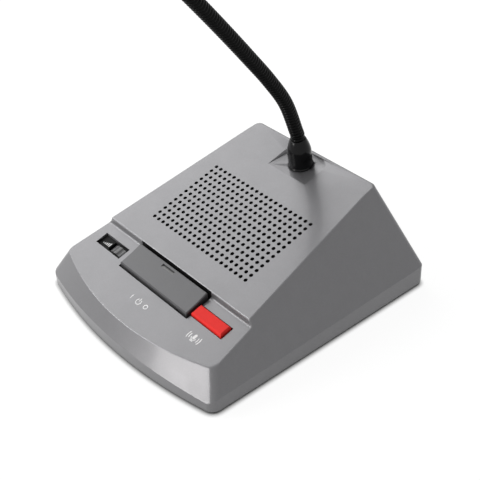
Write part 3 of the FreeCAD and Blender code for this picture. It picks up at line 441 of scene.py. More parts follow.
SILVER_PAINT = Finish("silver_paint", (0.190, 0.189, 0.196), 0.36, Pattern.PAINT, metallic=0.45, coat=0.3,
                      coat_roughness=0.12, specular=0.3, grain=2600.0, bump=0.10, shade_change=0.018)
SILVER_KEY = Finish("silver_key", (0.080, 0.080, 0.083), 0.30, Pattern.PAINT, metallic=0.45, coat=0.2,
                    coat_roughness=0.12, specular=0.3, grain=2600.0, bump=0.08, shade_change=0.016,
                    gloss_change=0.02)
# Dark unpainted moulding that is also painted shade: it goes on the walls of the sound holes, on the walls of
# the gap behind the wide key, and on faces in front of the riser that see little of the open.
RAW_MOULDING_AND_SHADE = Finish("raw_moulding_and_shade", (0.012, 0.012, 0.012), 0.8, grain=3400.0, bump=0.15, specular=0.1,
                      shade_change=0.08)
BLACK_PLASTIC = Finish("black_plastic", (0.022, 0.022, 0.023), 0.48, grain=3800.0, bump=0.25,
                       shade_change=0.10)
RUBBER = Finish("rubber", (0.02, 0.02, 0.02), 0.75, grain=1800.0, bump=0.3, shade_change=0.12, specular=0.3)
STEEL = Finish("steel", (0.56, 0.56, 0.58), 0.28, Pattern.METAL, metallic=1.0, bump=0.12)
DARK_STEEL = Finish("dark_steel", (0.03, 0.03, 0.032), 0.45, Pattern.METAL, bump=0.10, specular=0.2)
SPRING_STEEL = Finish("spring_steel", (0.50, 0.50, 0.52), 0.22, Pattern.METAL, metallic=1.0, bump=0.10)
ZINC = Finish("zinc", (0.46, 0.47, 0.50), 0.38, Pattern.METAL, metallic=1.0, bump=0.14, shade_change=0.10)
ALUMINIUM = Finish("aluminium", (0.66, 0.66, 0.68), 0.34, Pattern.METAL, metallic=1.0, bump=0.12)
BOARD = Finish("board", (0.03, 0.16, 0.06), 0.32, Pattern.CIRCUIT, coat=0.3, bump=0.1)
CAPACITOR = Finish("capacitor", (0.035, 0.045, 0.11), 0.25, coat=0.3, shade_change=0.08)
LENS = Finish("lens", (0.065, 0.065, 0.065), 0.30, coat=0.2, shade_change=0.05)
WHITE_PLASTIC = Finish("white_plastic", (0.76, 0.76, 0.73), 0.42, shade_change=0.03)
RED_PLASTIC = Finish("red_plastic", (0.90, 0.034, 0.028), 0.42, specular=0.12, grain=3200.0, bump=0.09,
                     shade_change=0.03)
BLACK_GLOSS = Finish("black_gloss", (0.004, 0.004, 0.0045), 0.13, specular=0.17, grain=700.0,
                     wave=90.0, bump=0.05, gloss_change=0.05)
WINDOW_BLACK = Finish("window_black", (0.006, 0.006, 0.006), 0.55, specular=0.10, grain=3000.0, bump=0.15,
                      shade_change=0.08)
WHEEL_GREY = Finish("wheel_grey", (0.11, 0.11, 0.112), 0.42, grain=3600.0, bump=0.2, shade_change=0.10)
CLOTH = Finish("cloth", (0.006, 0.006, 0.006), 0.9, Pattern.WOVEN, bump=0.8, bump_height=0.0002, specular=0.2)
PAPER = Finish("paper", (0.045, 0.045, 0.045), 0.8, Pattern.FIBRE, bump=0.5, bump_height=0.0001, specular=0.2)
FERRITE = Finish("ferrite", (0.06, 0.06, 0.062), 0.55, grain=1500.0, bump=0.3, shade_change=0.15)
NECK_BLACK = Finish("neck_black", (0.003, 0.003, 0.003), 0.18, specular=0.08, grain=3000.0, bump=0.08,
                    shade_change=0.12, gloss_change=0.08)
MIC_BLACK = Finish("mic_black", (0.018, 0.018, 0.018), 0.38, grain=3200.0, bump=0.2, shade_change=0.10)
WHITE_INK = Finish("white_ink", (0.90, 0.90, 0.90), 0.45, grain=5200.0, bump=0.15, shade_change=0.08)

FINISHES = {
    finish.name: finish
    for finish in (
        SILVER_PAINT, SILVER_KEY, BLACK_PLASTIC, RUBBER, STEEL, SPRING_STEEL, ZINC,
        ALUMINIUM, BOARD, CAPACITOR, LENS, WHITE_PLASTIC, RED_PLASTIC, BLACK_GLOSS,
        WHEEL_GREY, CLOTH, PAPER, FERRITE, NECK_BLACK, MIC_BLACK,
    )
}


# ---- meshes ----
def linked(name: str, data: bpy.types.ID) -> bpy.types.Object:
    """Puts a new object into the scene.

    Args:
        name: The object's name.
        data: Its mesh, light or camera.

    Returns:
        The object.
    """
    thing = bpy.data.objects.new(name, data)
    bpy.context.scene.collection.objects.link(thing)
    return thing


def new_piece(name: str, mesh: bpy.types.Mesh, finish: Finish) -> bpy.types.Object:
    """Puts a mesh into the scene as a dressed piece.

    Args:
        name: The piece's name.
        mesh: Its mesh, in the frame's place.
        finish: Its finish.

    Returns:
        The new object.
    """
    piece = linked(name, mesh)
    mesh.materials.clear()
    mesh.materials.append(finish.material())
    return piece


def welded(mesh: bpy.types.Mesh, name: str, gap: float = 0.002 * MM) -> bpy.types.Mesh:
    """A copy of a mesh with its doubled corners joined.

    Args:
        mesh: The mesh to copy.
        name: The copy's name.
        gap: How far apart two corners may lie to be joined.

    Returns:
        The welded copy.
    """
    work = bmesh.new()
    work.from_mesh(mesh)
    bmesh.ops.remove_doubles(work, verts=work.verts, dist=gap)
    copy = bpy.data.meshes.new(name)
    work.to_mesh(copy)
    work.free()
    return copy


def ring_mesh(name: str, rings: list[list[Vector]], wraps: bool) -> bpy.types.Mesh:
    """A mesh of rings of points, each joined to the next.

    Args:
        name: The mesh's name.
        rings: The rings, all with as many points.
        wraps: Whether the last ring is joined to the first. If not, both ends are closed flat.

    Returns:
        The mesh.
    """
    count = len(rings[0])
    corners = [point for ring in rings for point in ring]
    faces = []
    for i in range(len(rings) if wraps else len(rings) - 1):
        near, far = i * count, (i + 1) % len(rings) * count
        for k in range(count):
            after = (k + 1) % count
            faces.append((near + k, near + after, far + after, far + k))
    if not wraps:
        faces += [tuple(reversed(range(count))), tuple(range(len(corners) - count, len(corners)))]
    mesh = bpy.data.meshes.new(name)
    mesh.from_pydata(corners, [], faces)
    mesh.validate()
    return mesh


@dataclass
class EdgeRule:
    """Which edges of a moulded form show as edges, and which belong to one rounded surface."""

    flat: float = 1.0           # degrees between faces of one flat area
    shallow: float = 8.0        # from here on, an edge between two wide areas shows
    steep: float = 42.0         # from here on, any edge shows
    wide: float = 1.6 * MM      # an area wider than this is a wide one
    seam_turn: float = 180.0    # from here on, an edge between an upright and a leaning face shows
    upright: float = 0.02       # an upright face's normal rises or falls less than this
    leaning: float = 0.4        # a leaning face's normal rises or falls more than this
    blend_turn: float = 60.0    # from here on, an edge in a soft place is blended away

    def apply(self, mesh: bpy.types.Mesh, soft: Callable[[Vector], bool] = lambda place: False) -> None:
        """Shades the mesh smooth and marks the edges that show as sharp.

        Args:
            mesh: The mesh to shade.
            soft: Tells the places where steep edges are blended away.
        """
        work = bmesh.new()
        work.from_mesh(mesh)
        work.faces.ensure_lookup_table()
        width_of = self.widths(work)
        for face in work.faces:
            face.smooth = True
        for edge in work.edges:
            if len(edge.link_faces) != 2:
                edge.smooth = False
                continue
            first, second = edge.link_faces
            turn = math.degrees(first.normal.angle(second.normal, 0.0))
            if turn > self.blend_turn and all(soft(corner.co) for corner in edge.verts):
                continue
            narrow = min(width_of[first.index], width_of[second.index]) <= self.wide
            low, high = sorted((abs(first.normal.z), abs(second.normal.z)))
            seam = turn > self.seam_turn and low < self.upright and high > self.leaning
            edge.smooth = turn < self.shallow or (turn < self.steep and narrow and not seam)
        work.to_mesh(mesh)
        work.free()

    def widths(self, work: bmesh.types.BMesh) -> list[float]:
        """The width of the flat area that each face belongs to.

        Args:
            work: The mesh.

        Returns:
            A width in metres for each face, by its index.
        """
        widths = [0.0] * len(work.faces)
        seen = set()
        for start in work.faces:
            if start.index in seen:
                continue
            seen.add(start.index)
            area, rim, waiting, members = 0.0, 0.0, [start], []
            while waiting:
                face = waiting.pop()
                members.append(face.index)
                area += face.calc_area()
                for edge in face.edges:
                    near = [other for other in edge.link_faces if other is not face]
                    if near and math.degrees(face.normal.angle(near[0].normal, 0.0)) < self.flat:
                        if near[0].index not in seen:
                            seen.add(near[0].index)
                            waiting.append(near[0])
                    else:
                        rim += edge.calc_length()
            for index in members:
                widths[index] = 2 * area / max(rim, TINY)
        return widths


def settled(piece: bpy.types.Object) -> None:
    """Applies a piece's modifiers to its mesh."""
    graph = bpy.context.evaluated_depsgraph_get()
    mesh = bpy.data.meshes.new_from_object(piece.evaluated_get(graph))
    piece.modifiers.clear()
    piece.data = mesh


def crisp(piece: bpy.types.Object, weight: int = 80) -> None:
    """Turns a piece's corner normals to its largest faces, so that roundings stay narrow beside flat areas.

    Args:
        piece: The piece.
        weight: From 1 to 100. Above 50, large faces count for more.
    """
    weigh = piece.modifiers.new("crisp", "WEIGHTED_NORMAL")
    weigh.mode = "FACE_AREA"
    weigh.weight = weight
    weigh.keep_sharp = True
    settled(piece)


# ---- housing ----
@dataclass
class Housing:
    """The silver moulding, with its sound holes drilled round."""

    frame: dict
    hole_radius: float = 1.15 * MM
    hole_sides: int = 20
    pitch: float = 4.0 * MM
    columns: int = 21
    rows: int = 13
    slope: float = math.radians(15.2)
    riser_top: Pair = (-36.25 * MM, 34.0 * MM)
    first_row: float = 16.6 * MM
    drill: float = 9.0 * MM
    undercut: float = 0.3 * MM
    key_play: float = 1.0 * MM
    headroom: float = 4.0 * MM
    seat: Pair = (56.25 * MM, 54.0 * MM)
    seat_reach: float = 22.0 * MM
    seam_turn: float = 25.0
    neighbours: tuple[str, ...] = ("power_key", "mic_key", "volume_bezel")
    rays: int = 32
    grazing: float = 0.1        # rays that leave a face flatter than this aren't counted
    lift: float = 0.02 * MM     # rays start this far off the face
    reach: float = 60.0 * MM
    dark_share: float = 0.2     # a face with fewer free rays than this share gets the painted shade

    def hole_axis(self) -> Vector:
        """The direction of the sound holes, square to the slope."""
        return Vector((0.0, -math.sin(self.slope), math.cos(self.slope)))

    def drills(self) -> bpy.types.Object:
        """A drill for each sound hole, as one object.

        Returns:
            The object, not shown.
        """
        work = bmesh.new()
        along = Vector((0.0, math.cos(self.slope), math.sin(self.slope)))
        turn = self.hole_axis().to_track_quat("Z", "Y").to_matrix().to_4x4()
        start = Vector((0.0, *self.riser_top))
        for row in range(self.rows):
            for column in range(self.columns):
                side = (column - (self.columns - 1) / 2) * self.pitch
                place = start + along * (self.first_row + row * self.pitch) + Vector((side, 0.0, 0.0))
                bmesh.ops.create_cone(work, cap_ends=True, segments=self.hole_sides, radius1=self.hole_radius,
                                      radius2=self.hole_radius, depth=self.drill,
                                      matrix=Matrix.Translation(place) @ turn)
        self.add_undercut(work)
        mesh = bpy.data.meshes.new("drills")
        work.to_mesh(mesh)
        work.free()
        # the walls that the drills cut take the dark finish: bare moulding, and painted shade in the sound
        # holes and behind the wide key
        mesh.materials.append(RAW_MOULDING_AND_SHADE.material())
        return linked("drills", mesh)

    def add_undercut(self, work: bmesh.types.BMesh) -> None:
        """Adds the cutter that draws the riser back behind the wide key, whose swing needs the room. Its
        walls take the dark finish, as painted shade in the gap.

        Args:
            work: The mesh of the drills.
        """
        low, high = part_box("power_key")
        front, rear = high[1], self.riser_top[0] + self.undercut
        floor, ceiling = low[2], high[2] + self.headroom
        size = Vector((high[0] - low[0] + 2 * self.key_play, rear - front, ceiling - floor))
        middle = Vector(((low[0] + high[0]) / 2, (front + rear) / 2, (floor + ceiling) / 2))
        place = Matrix.Translation(middle) @ Matrix.Diagonal((*size, 1.0))
        bmesh.ops.create_cube(work, size=1.0, matrix=place)

    def at_seat(self, place: Vector) -> bool:
        """Whether a place is in the neck's seat, whose walls run softly into its floor."""
        return math.hypot(place.x, place.y - self.seat[0]) < self.seat_reach and place.z > self.seat[1]

    def sky(self) -> list[Vector]:
        """Directions spread evenly over a sphere."""
        golden = math.pi * (3 - math.sqrt(5))
        spread = []
        for i in range(self.rays):
            height = 1 - (2 * i + 1) / self.rays
            level = math.sqrt(1 - height * height)
            spread.append(Vector((level * math.cos(golden * i), level * math.sin(golden * i), height)))
        return spread

    def paint_shade_inside(self, mesh: bpy.types.Mesh) -> int:
        """Gives the dark unpainted finish to what lies in front of the riser and sees little of the open,
        where no paint reaches; it also stands as painted shade in the key wells and gaps.

        Args:
            mesh: The housing's mesh.

        Returns:
            How many faces take the dark finish and its painted shade.
        """
        corners = [v.co.copy() for v in mesh.vertices]
        faces = [list(p.vertices) for p in mesh.polygons]
        for node in self.neighbours:
            near = self.frame["nodes"][node].data
            first = len(corners)
            corners += [v.co.copy() for v in near.vertices]
            faces += [[first + i for i in p.vertices] for p in near.polygons]
        tree = BVHTree.FromPolygons(corners, faces)
        # the slot of the dark finish that paints the shade
        shade_slot = mesh.materials.find(RAW_MOULDING_AND_SHADE.material().name)
        if shade_slot < 0:
            mesh.materials.append(RAW_MOULDING_AND_SHADE.material())
            shade_slot = len(mesh.materials) - 1
        sky = self.sky()
        count = 0
        for face in mesh.polygons:
            if face.center.y > self.riser_top[0] + self.undercut:
                continue
            outward = [way for way in sky if way.dot(face.normal) > self.grazing]
            start = face.center + face.normal * self.lift
            free = sum(1 for way in outward if tree.ray_cast(start, way, self.reach)[0] is None)
            if free < self.dark_share * len(outward):
                face.material_index = shade_slot
                count += 1
        return count

    def build(self) -> bpy.types.Object:
        """Makes the housing's piece.

        Returns:
            The piece, riding on the housing.
        """
        mesh = welded(self.frame["nodes"]["upper_housing"].data, "housing_shell")
        piece = new_piece("housing_shell", mesh, SILVER_PAINT)
        drills = self.drills()
        cut = piece.modifiers.new("sound_holes", "BOOLEAN")
        cut.operation = "DIFFERENCE"
        cut.solver = "EXACT"
        cut.material_mode = "TRANSFER"
        cut.object = drills
        settled(piece)
        bpy.data.objects.remove(drills)
        # the faces counted here take the painted shade
        log.info("%d faces of raw moulding", self.paint_shade_inside(piece.data))
        EdgeRule(seam_turn=self.seam_turn).apply(piece.data, self.at_seat)
        crisp(piece)
        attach(piece, Body.HOUSING.value)
        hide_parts("upper_housing")
        return piece


# ---- collar ----
@dataclass
class Collar:
    """The glossy sleeve round the neck's foot."""

    foot: Pair = (56.25 * MM, 57.3 * MM)
    lean: float = math.radians(6.5)
    height: float = 18.3 * MM
    foot_radius: float = 7.5 * MM
    foot_height: float = 1.2 * MM
    radius: float = 6.95 * MM
    shoulder: float = 10.2 * MM
    top_radius: float = 4.7 * MM
    bore: float = 4.3 * MM
    edge: float = 0.35 * MM
    sides: int = 72
    taper_steps: int = 8
    taper_bow: float = 1.5
    sharp_turn: float = 50.0

    def upward(self) -> Vector:
        """The direction of the collar's axis."""
        return Vector((0.0, -math.sin(self.lean), math.cos(self.lean)))

    def top(self) -> Vector:
        """The middle of the collar's upper rim."""
        return Vector((0.0, *self.foot)) + self.upward() * self.height

    def outline(self) -> list[Pair]:
        """The collar's section as radius and height, from its bore's foot round to its bore's top."""
        e = self.edge
        points = [
            (self.bore, 0.0),
            (self.foot_radius - e, 0.0),
            (self.foot_radius, e),
            (self.foot_radius, self.foot_height - e),
            (self.foot_radius - e, self.foot_height),
            (self.radius + e / 2, self.foot_height + e / 2),
            (self.radius, self.foot_height + 2 * e),
        ]
        rise = self.height - e - self.shoulder
        for i in range(self.taper_steps + 1):
            share = i / self.taper_steps
            narrowing = (self.radius - self.top_radius) * share ** self.taper_bow
            points.append((self.radius - narrowing, self.shoulder + rise * share))
        return points + [(self.top_radius - e, self.height), (self.bore, self.height)]

    def build(self) -> bpy.types.Object:
        """Makes the collar's piece.

        Returns:
            The piece, riding on the housing.
        """
        turn = self.upward().to_track_quat("Z", "Y").to_matrix()
        foot = Vector((0.0, *self.foot))
        angles = [2 * math.pi * k / self.sides for k in range(self.sides)]
        rings = []
        for radius, height in self.outline():
            ring = [Vector((radius * math.cos(angle), radius * math.sin(angle), height)) for angle in angles]
            rings.append([foot + turn @ point for point in ring])
        mesh = ring_mesh("collar_sleeve", rings, wraps=True)
        piece = new_piece("collar_sleeve", mesh, BLACK_GLOSS)
        EdgeRule(wide=math.inf, steep=self.sharp_turn).apply(mesh)
        crisp(piece)
        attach(piece, Body.HOUSING.value)
        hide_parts("neck_collar")
        return piece


# ---- neck ----
@dataclass
class Neck:
    """The bendable conduit: a ribbed skin in nine lengths, each across one joint."""

    frame: dict
    collar: Collar
    radius: float = 4.1 * MM
    rib_depth: float = 0.95 * MM
    rib_pitch: float = 2.0 * MM
    rib_span: float = 0.97      # how much of a half ellipse's width a rib's section takes
    rings_per_rib: int = 12
    sides: int = 28
    stem: float = 8.0 * MM
    head_length: float = 13.0 * MM

    def joints(self) -> list[Vector]:
        """The places of the neck's joints, from its foot up."""
        found = [j for j in self.frame["joints"] if j["name"].startswith("neck_")]
        return [Vector(j["pos_m"]) for j in sorted(found, key=lambda j: int(j["name"].split("_")[-1]))]

    def line(self) -> list[Vector]:
        """The neck's centre line, with a point for each ring of the skin.

        Returns:
            The points, from the foot up.
        """
        foot = Vector((0.0, *self.collar.foot))
        knots = [foot - self.collar.upward() * self.stem, self.collar.top()] + self.joints()
        knots.append(knots[-1] + (knots[-1] - knots[-2]).normalized() * self.head_length)
        before = knots[0] * 2 - knots[1]
        after = knots[-1] * 2 - knots[-2]
        chain = [before] + knots + [after]
        points = []
        for a, b, c, d in zip(chain, chain[1:], chain[2:], chain[3:]):
            steps = max(2, round((c - b).length / (self.rib_pitch / self.rings_per_rib)))
            for i in range(steps):
                points.append(self.between(a, b, c, d, i / steps))
        return points + [chain[-2]]

    @staticmethod
    def between(a: Vector, b: Vector, c: Vector, d: Vector, t: float) -> Vector:
        """A point between b and c on a smooth line through all four.

        Args:
            a: The knot before b.
            b: Where the stretch starts.
            c: Where it ends.
            d: The knot after c.
            t: From 0 at b to 1 at c.

        Returns:
            The point.
        """
        start = (c - a) / 2
        end = (d - b) / 2
        t2, t3 = t * t, t * t * t
        return b * (2 * t3 - 3 * t2 + 1) + start * (t3 - 2 * t2 + t) + c * (3 * t2 - 2 * t3) + end * (t3 - t2)

    def crest(self, turns: float) -> float:
        """How far a rib stands out, from 0 in the groove to 1, after that many turns of the helix."""
        across = 2 * (turns % 1.0) - 1
        return math.sqrt(max(0.0, 1 - (self.rib_span * across) ** 2))

    def rings(self) -> tuple[list[list[Vector]], list[Vector]]:
        """The skin's rings of points, with the centre of each.

        Returns:
            The rings and their centres, from the foot up.
        """
        line = self.line()
        rings = []
        travelled = 0.0
        for i, centre in enumerate(line):
            ahead = line[min(i + 1, len(line) - 1)] - line[max(i - 1, 0)]
            across = Vector((1.0, 0.0, 0.0))
            other = ahead.normalized().cross(across)
            if i:
                travelled += (centre - line[i - 1]).length
            ring = []
            for k in range(self.sides):
                share = k / self.sides
                turn = 2 * math.pi * share
                r = self.radius - self.rib_depth * (1 - self.crest(travelled / self.rib_pitch - share))
                ring.append(centre + (across * math.cos(turn) + other * math.sin(turn)) * r)
            rings.append(ring)
        return rings, line

    def build(self) -> list[bpy.types.Object]:
        """Makes the neck's lengths of skin, each closed at both ends.

        Returns:
            The pieces, each across its joint.
        """
        rings, line = self.rings()
        joints = self.joints()
        near = [min(range(len(line)), key=lambda i: (line[i] - joint).length) for joint in joints]
        middles = [(a + b) // 2 for a, b in zip(near, near[1:])]
        starts = [near[0] * 2 - middles[0]] + middles
        ends = middles + [min(near[-1] * 2 - middles[-1], len(line) - 1)]
        pieces = []
        for i, (start, end) in enumerate(zip(starts, ends)):
            number = i + 1
            low = 0 if i == 0 else start
            high = len(rings) if number == len(joints) else end + 1
            name = "neck_skin_" + str(number)
            mesh = ring_mesh(name, rings[low:high], wraps=False)
            mesh.shade_smooth()
            piece = new_piece(name, mesh, NECK_BLACK)
            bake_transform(piece)
            nodes = ["neck_link_" + str(number)] + (["neck_base"] if i == 0 else [])
            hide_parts(*nodes)
            pieces.append(piece)
        return pieces


# ---- printed marks ----
class Mark(Enum):
    """The printed pictograms."""

    POWER = "power_mark"
    TALK = "talk_mark"
    VOLUME = "volume_mark"


def bend(radius: float, low: float, high: float, step: float = 10.0,
         centre: Pair = (0.0, 0.0)) -> list[Pair]:
    """Points along an arc.

    Args:
        radius: The arc's radius.
        low: Where it starts, in degrees from the right.
        high: Where it ends.
        step: About how many degrees lie between two points.
        centre: The arc's centre.

    Returns:
        The points, five or more.
    """
    steps = max(4, round(abs(high - low) / step))
    turns = [math.radians(low + (high - low) * i / steps) for i in range(steps + 1)]
    return [(centre[0] + radius * math.cos(t), centre[1] + radius * math.sin(t)) for t in turns]


@dataclass
class Strokes:
    """Collects the strokes of one mark on a flat sheet, in metres."""

    width: float
    corners: list[Pair] = field(default_factory=list)
    faces: list[tuple[int, ...]] = field(default_factory=list)

    def patch(self, points: list[Pair]) -> None:
        """Adds a filled outline."""
        start = len(self.corners)
        self.corners += points
        self.faces.append(tuple(range(start, start + len(points))))

    def bar(self, x0: float, x1: float, y0: float, y1: float) -> None:
        """Adds an upright rectangle."""
        self.patch([(x0, y0), (x1, y0), (x1, y1), (x0, y1)])

    def post(self, x: float, y0: float, y1: float) -> None:
        """Adds an upright stroke about x."""
        self.bar(x - self.width / 2, x + self.width / 2, y0, y1)

    def arc(self, radius: float, low: float, high: float, centre: Pair = (0.0, 0.0)) -> None:
        """Adds a curved stroke.

        Args:
            radius: The radius of its middle.
            low: Where it starts, in degrees from the right.
            high: Where it ends.
            centre: The arc's centre.
        """
        inner = bend(radius - self.width / 2, low, high, centre=centre)
        outer = bend(radius + self.width / 2, low, high, centre=centre)
        for i in range(len(inner) - 1):
            self.patch([inner[i], outer[i], outer[i + 1], inner[i + 1]])


@dataclass
class Marks:
    """The pictograms printed on the deck and in the volume window."""

    frame: dict
    ink: float = 0.04 * MM
    stroke: float = 0.55 * MM
    joined: float = 0.01 * MM   # corners of strokes nearer than this become one
    above: float = 0.2          # a height over the whole unit, in metres
    slot: str = "white_plastic"
    power_at: Pair = (0.0, -62.0 * MM)
    talk_at: Pair = (43.7 * MM, -58.6 * MM)
    volume_at: Pair = (-51.6 * MM, -46.4 * MM)

    def power(self) -> Strokes:
        """A ring, open at the top, with a bar in its gap, between a bar for on and a ring for off."""
        ring, ring_ends = 1.75 * MM, (-235, 55)
        aside, on_half, off_ring = 6.2 * MM, 1.5 * MM, 1.25 * MM
        s = Strokes(self.stroke)
        s.arc(ring, *ring_ends)
        s.post(0.0, 0.3 * MM, 2.4 * MM)
        s.post(-aside, -on_half, on_half)
        s.arc(off_ring, 0, 360, (aside, 0.0))
        return s

    def talk(self) -> Strokes:
        """A microphone on its stand, with sound waves to both sides."""
        half, top, round_step = 0.85 * MM, 1.5 * MM, 20
        cradle, cradle_lift = 1.6 * MM, 0.1 * MM
        foot, foot_half, stem_foot, stem_top = -2.4 * MM, 1.1 * MM, -2.1 * MM, -1.4 * MM
        wave_half = 28
        s = Strokes(self.stroke)
        s.patch(bend(half, 0, 180, round_step, (0.0, top)) + bend(half, 180, 360, round_step))
        s.arc(cradle, 180, 360, (0.0, cradle_lift))
        s.post(0.0, stem_foot, stem_top)
        s.bar(-foot_half, foot_half, foot, foot + self.stroke)
        for radius in (3.1 * MM, 4.5 * MM):
            s.arc(radius, -wave_half, wave_half)
            s.arc(radius, 180 - wave_half, 180 + wave_half)
        return s

    def volume(self) -> Strokes:
        """Five bars, each taller than the last."""
        bars, pitch, width, foot = 5, 1.3 * MM, 0.65 * MM, -1.3 * MM
        lowest, rise = 0.6 * MM, 0.5 * MM
        s = Strokes(self.stroke)
        for i in range(bars):
            x = (i - bars / 2) * pitch
            s.bar(x, x + width, foot, foot + lowest + rise * i)
        return s

    def surface(self, node: str, at: Pair) -> tuple[Vector, Vector]:
        """The point and the slope of a node's top above a place.

        Args:
            node: The node that carries the mark.
            at: The place, as x and y.

        Returns:
            The point on the surface and its normal.
        """
        mesh = self.frame["nodes"][node].data
        tree = BVHTree.FromPolygons([v.co for v in mesh.vertices], [list(p.vertices) for p in mesh.polygons])
        point, normal, _, _ = tree.ray_cast(Vector((*at, self.above)), Vector((0.0, 0.0, -1.0)))
        return point, normal

    def print_mark(self, mark: Mark, strokes: Strokes, node: str, at: Pair) -> bpy.types.Object:
        """Lays a mark on a surface as a thin film of ink.

        Args:
            mark: Which mark it is.
            strokes: Its strokes.
            node: The node that carries it.
            at: Its place, as x and y.

        Returns:
            The piece.
        """
        point, normal = self.surface(node, at)
        up = (Vector((0.0, 1.0, 0.0)) - normal * normal.y).normalized()
        right = up.cross(normal).normalized()
        work = bmesh.new()
        verts = [work.verts.new(point + right * x + up * y) for x, y in strokes.corners]
        for face in strokes.faces:
            work.faces.new([verts[i] for i in face])
        bmesh.ops.remove_doubles(work, verts=work.verts, dist=self.joined)
        raised = bmesh.ops.extrude_face_region(work, geom=work.faces[:])
        lifted = [v for v in raised["geom"] if isinstance(v, bmesh.types.BMVert)]
        bmesh.ops.translate(work, verts=lifted, vec=normal * self.ink)
        bmesh.ops.recalc_face_normals(work, faces=work.faces[:])
        mesh = bpy.data.meshes.new(mark.value)
        work.to_mesh(mesh)
        work.free()
        piece = new_piece(mark.value, mesh, WHITE_INK)
        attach(piece, Body.HOUSING.value)
        return piece

    def build(self) -> list[bpy.types.Object]:
        """Prints the three marks.

        Returns:
            The pieces.
        """
        return [
            self.print_mark(Mark.POWER, self.power(), "upper_housing", self.power_at),
            self.print_mark(Mark.TALK, self.talk(), "upper_housing", self.talk_at),
            self.print_mark(Mark.VOLUME, self.volume(), "volume_bezel", self.volume_at),
        ]


# ---- what the frame's own pieces wear ----
@dataclass
class Wardrobe:
    """Gives every piece of the frame the finish of its material slot, or its own where it has one."""

    frame: dict
    special: dict[str, Finish] = field(default_factory=lambda: {
        "volume_bezel": WINDOW_BLACK,
        "power_key_pin": DARK_STEEL,
    })

    def build(self) -> int:
        """Dresses the frame's pieces.

        Returns:
            How many were dressed.
        """
        slots = {part["node"]: part["material_slot"] for part in self.frame["record"]["subparts"]}
        for node, piece in self.frame["nodes"].items():
            piece.data.materials.clear()
            piece.data.materials.append(self.special.get(node, FINISHES[slots[node]]).material())
        return len(self.frame["nodes"])


# ---- studio ----
@dataclass
class Lamp:
    """A soft lamp, as wide and high as its size says, that points at the unit."""

    name: str
    place: Triple
    size: Pair
    watts: float
    colour: Colour = (1.0, 1.0, 1.0)

    def build(self, target: Vector) -> None:
        """Hangs the lamp.

        Args:
            target: Where it points.
        """
        data = bpy.data.lights.new(self.name, "AREA")
        data.shape = "RECTANGLE"
        data.size, data.size_y = self.size
        data.energy = self.watts
        data.color = self.colour
        lamp = linked(self.name, data)
        lamp.location = self.place
        lamp.rotation_mode = "QUATERNION"
        lamp.rotation_quaternion = (target - Vector(self.place)).to_track_quat("-Z", "Y")


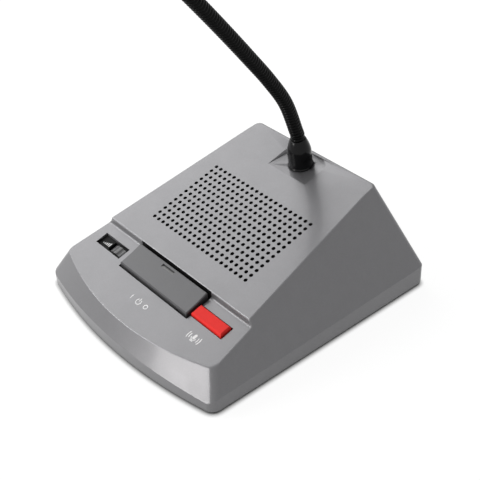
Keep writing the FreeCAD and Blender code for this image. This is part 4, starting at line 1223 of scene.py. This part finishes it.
@dataclass
class Studio:
    """The white table, the white surroundings, the lamps and the camera."""

    eye: Triple = (0.3569, -0.2716, 0.3634)
    look: Triple = (0.0067, 0.0008, 0.030)
    roll: float = math.radians(-3.41)
    sensor: float = 36.0
    lens: float = 74.85
    shift: Pair = (0.0078, 0.0168)
    clip: Pair = (0.01, 50.0)
    table_size: float = 8.0
    table_colour: Colour = (0.85, 0.85, 0.85)
    table_glow: float = 1.15
    table_white: float = 0.8            # how much of what is seen of the table is its glow
    contact: float = 3.5 * MM           # how far from the unit its painted contact shadow starts
    contact_fade: Pair = (0.45, 0.95)   # how open the table is where that shadow is full and where it ends
    surround: float = 0.3
    lamps: list[Lamp] = field(default_factory=lambda: [
        Lamp("left_softbox", (-1.46, 0.20, 1.10), (1.6, 1.5), 15.5),
        Lamp("front_strip", (-0.36, -1.50, 0.24), (0.62, 0.5), 6.5, (1.0, 0.98, 0.97)),
        Lamp("front_fill", (-0.86, -0.90, 0.78), (0.8, 0.4), 7.5),
    ])

    def camera(self) -> None:
        """Sets up the camera."""
        data = bpy.data.cameras.new("camera")
        data.sensor_width = self.sensor
        data.lens = self.lens
        data.shift_x, data.shift_y = self.shift
        data.clip_start, data.clip_end = self.clip
        camera = linked("camera", data)
        camera.location = self.eye
        camera.rotation_mode = "QUATERNION"
        aim = (Vector(self.look) - Vector(self.eye)).to_track_quat("-Z", "Y")
        camera.rotation_quaternion = (aim.to_matrix() @ Matrix.Rotation(self.roll, 3, "Z")).to_quaternion()
        bpy.context.scene.camera = camera

    @staticmethod
    def seen(sheet: Sheet) -> bpy.types.NodeSocket:
        """1 for what the camera sees, by itself or in a gloss or glass, and 0 for light.

        Args:
            sheet: The tree's sheet.

        Returns:
            The mask.
        """
        path = sheet.add("ShaderNodeLightPath")
        either = sheet.maths("MAXIMUM", path.outputs["Is Camera Ray"], path.outputs["Is Glossy Ray"])
        return sheet.maths("MAXIMUM", either, path.outputs["Is Transmission Ray"])

    def world(self) -> None:
        """Makes the surroundings: white to look at, softer as light."""
        world = bpy.data.worlds.new("surroundings")
        world.use_nodes = True
        sheet = Sheet(world.node_tree)
        background = world.node_tree.nodes["Background"]
        strength = sheet.ramp(self.seen(sheet), 0.0, 1.0, (self.surround, 1.0))
        sheet.feed(background, Color=(1.0, 1.0, 1.0, 1.0), Strength=strength)
        bpy.context.scene.world = world

    def table(self) -> None:
        """Makes the table, as part of the stage, with a painted contact shadow round the unit's foot."""
        half = self.table_size / 2
        mesh = bpy.data.meshes.new("table")
        corners = [(-half, -half, 0.0), (half, -half, 0.0), (half, half, 0.0), (-half, half, 0.0)]
        mesh.from_pydata(corners, [], [(0, 1, 2, 3)])
        table = linked("table", mesh)
        material = bpy.data.materials.new("table_white")
        material.use_nodes = True
        sheet = Sheet(material.node_tree)
        out = material.node_tree.nodes["Material Output"]
        material.node_tree.nodes.remove(material.node_tree.nodes["Principled BSDF"])
        matt = sheet.feed(sheet.add("ShaderNodeBsdfDiffuse"), Color=(*self.table_colour, 1.0))
        # Painted contact shadow: near the unit, ambient occlusion dims the table's glow.
        near = sheet.feed(sheet.add("ShaderNodeAmbientOcclusion"), Distance=self.contact)
        clear = sheet.ramp(near.outputs["AO"], *self.contact_fade, (0.0, 1.0))
        glow = sheet.maths("MULTIPLY", clear, self.table_glow)
        white = sheet.feed(sheet.add("ShaderNodeEmission"), Color=(1.0, 1.0, 1.0, 1.0), Strength=glow)
        mix = sheet.add("ShaderNodeMixShader")
        share = sheet.maths("MULTIPLY", self.seen(sheet), self.table_white)
        for socket, value in zip(mix.inputs, (share, matt.outputs[0], white.outputs[0])):
            sheet.put(socket, value)
        sheet.put(out.inputs["Surface"], mix.outputs[0])
        mesh.materials.append(material)

    def build(self) -> None:
        """Sets the whole studio up."""
        self.camera()
        self.world()
        self.table()
        for lamp in self.lamps:
            lamp.build(Vector(self.look))
        bpy.context.scene.view_settings.view_transform = "Standard"


def report(*pieces: bpy.types.Object) -> None:
    """Writes one line of the log for each piece.

    Args:
        pieces: The pieces.
    """
    for piece in pieces:
        log.info("%s: %d faces", piece.name, len(piece.data.polygons))


def main() -> None:
    """Builds the studio and then each part of the unit."""
    logging.basicConfig(level=logging.INFO, format="%(message)s")
    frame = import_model()
    Studio().build()
    log.info("%d pieces dressed", Wardrobe(frame).build())
    report(Housing(frame).build())
    collar = Collar()
    report(collar.build())
    report(*Neck(frame, collar).build())
    report(*Marks(frame).build())


if __name__ == "__main__":
    main()
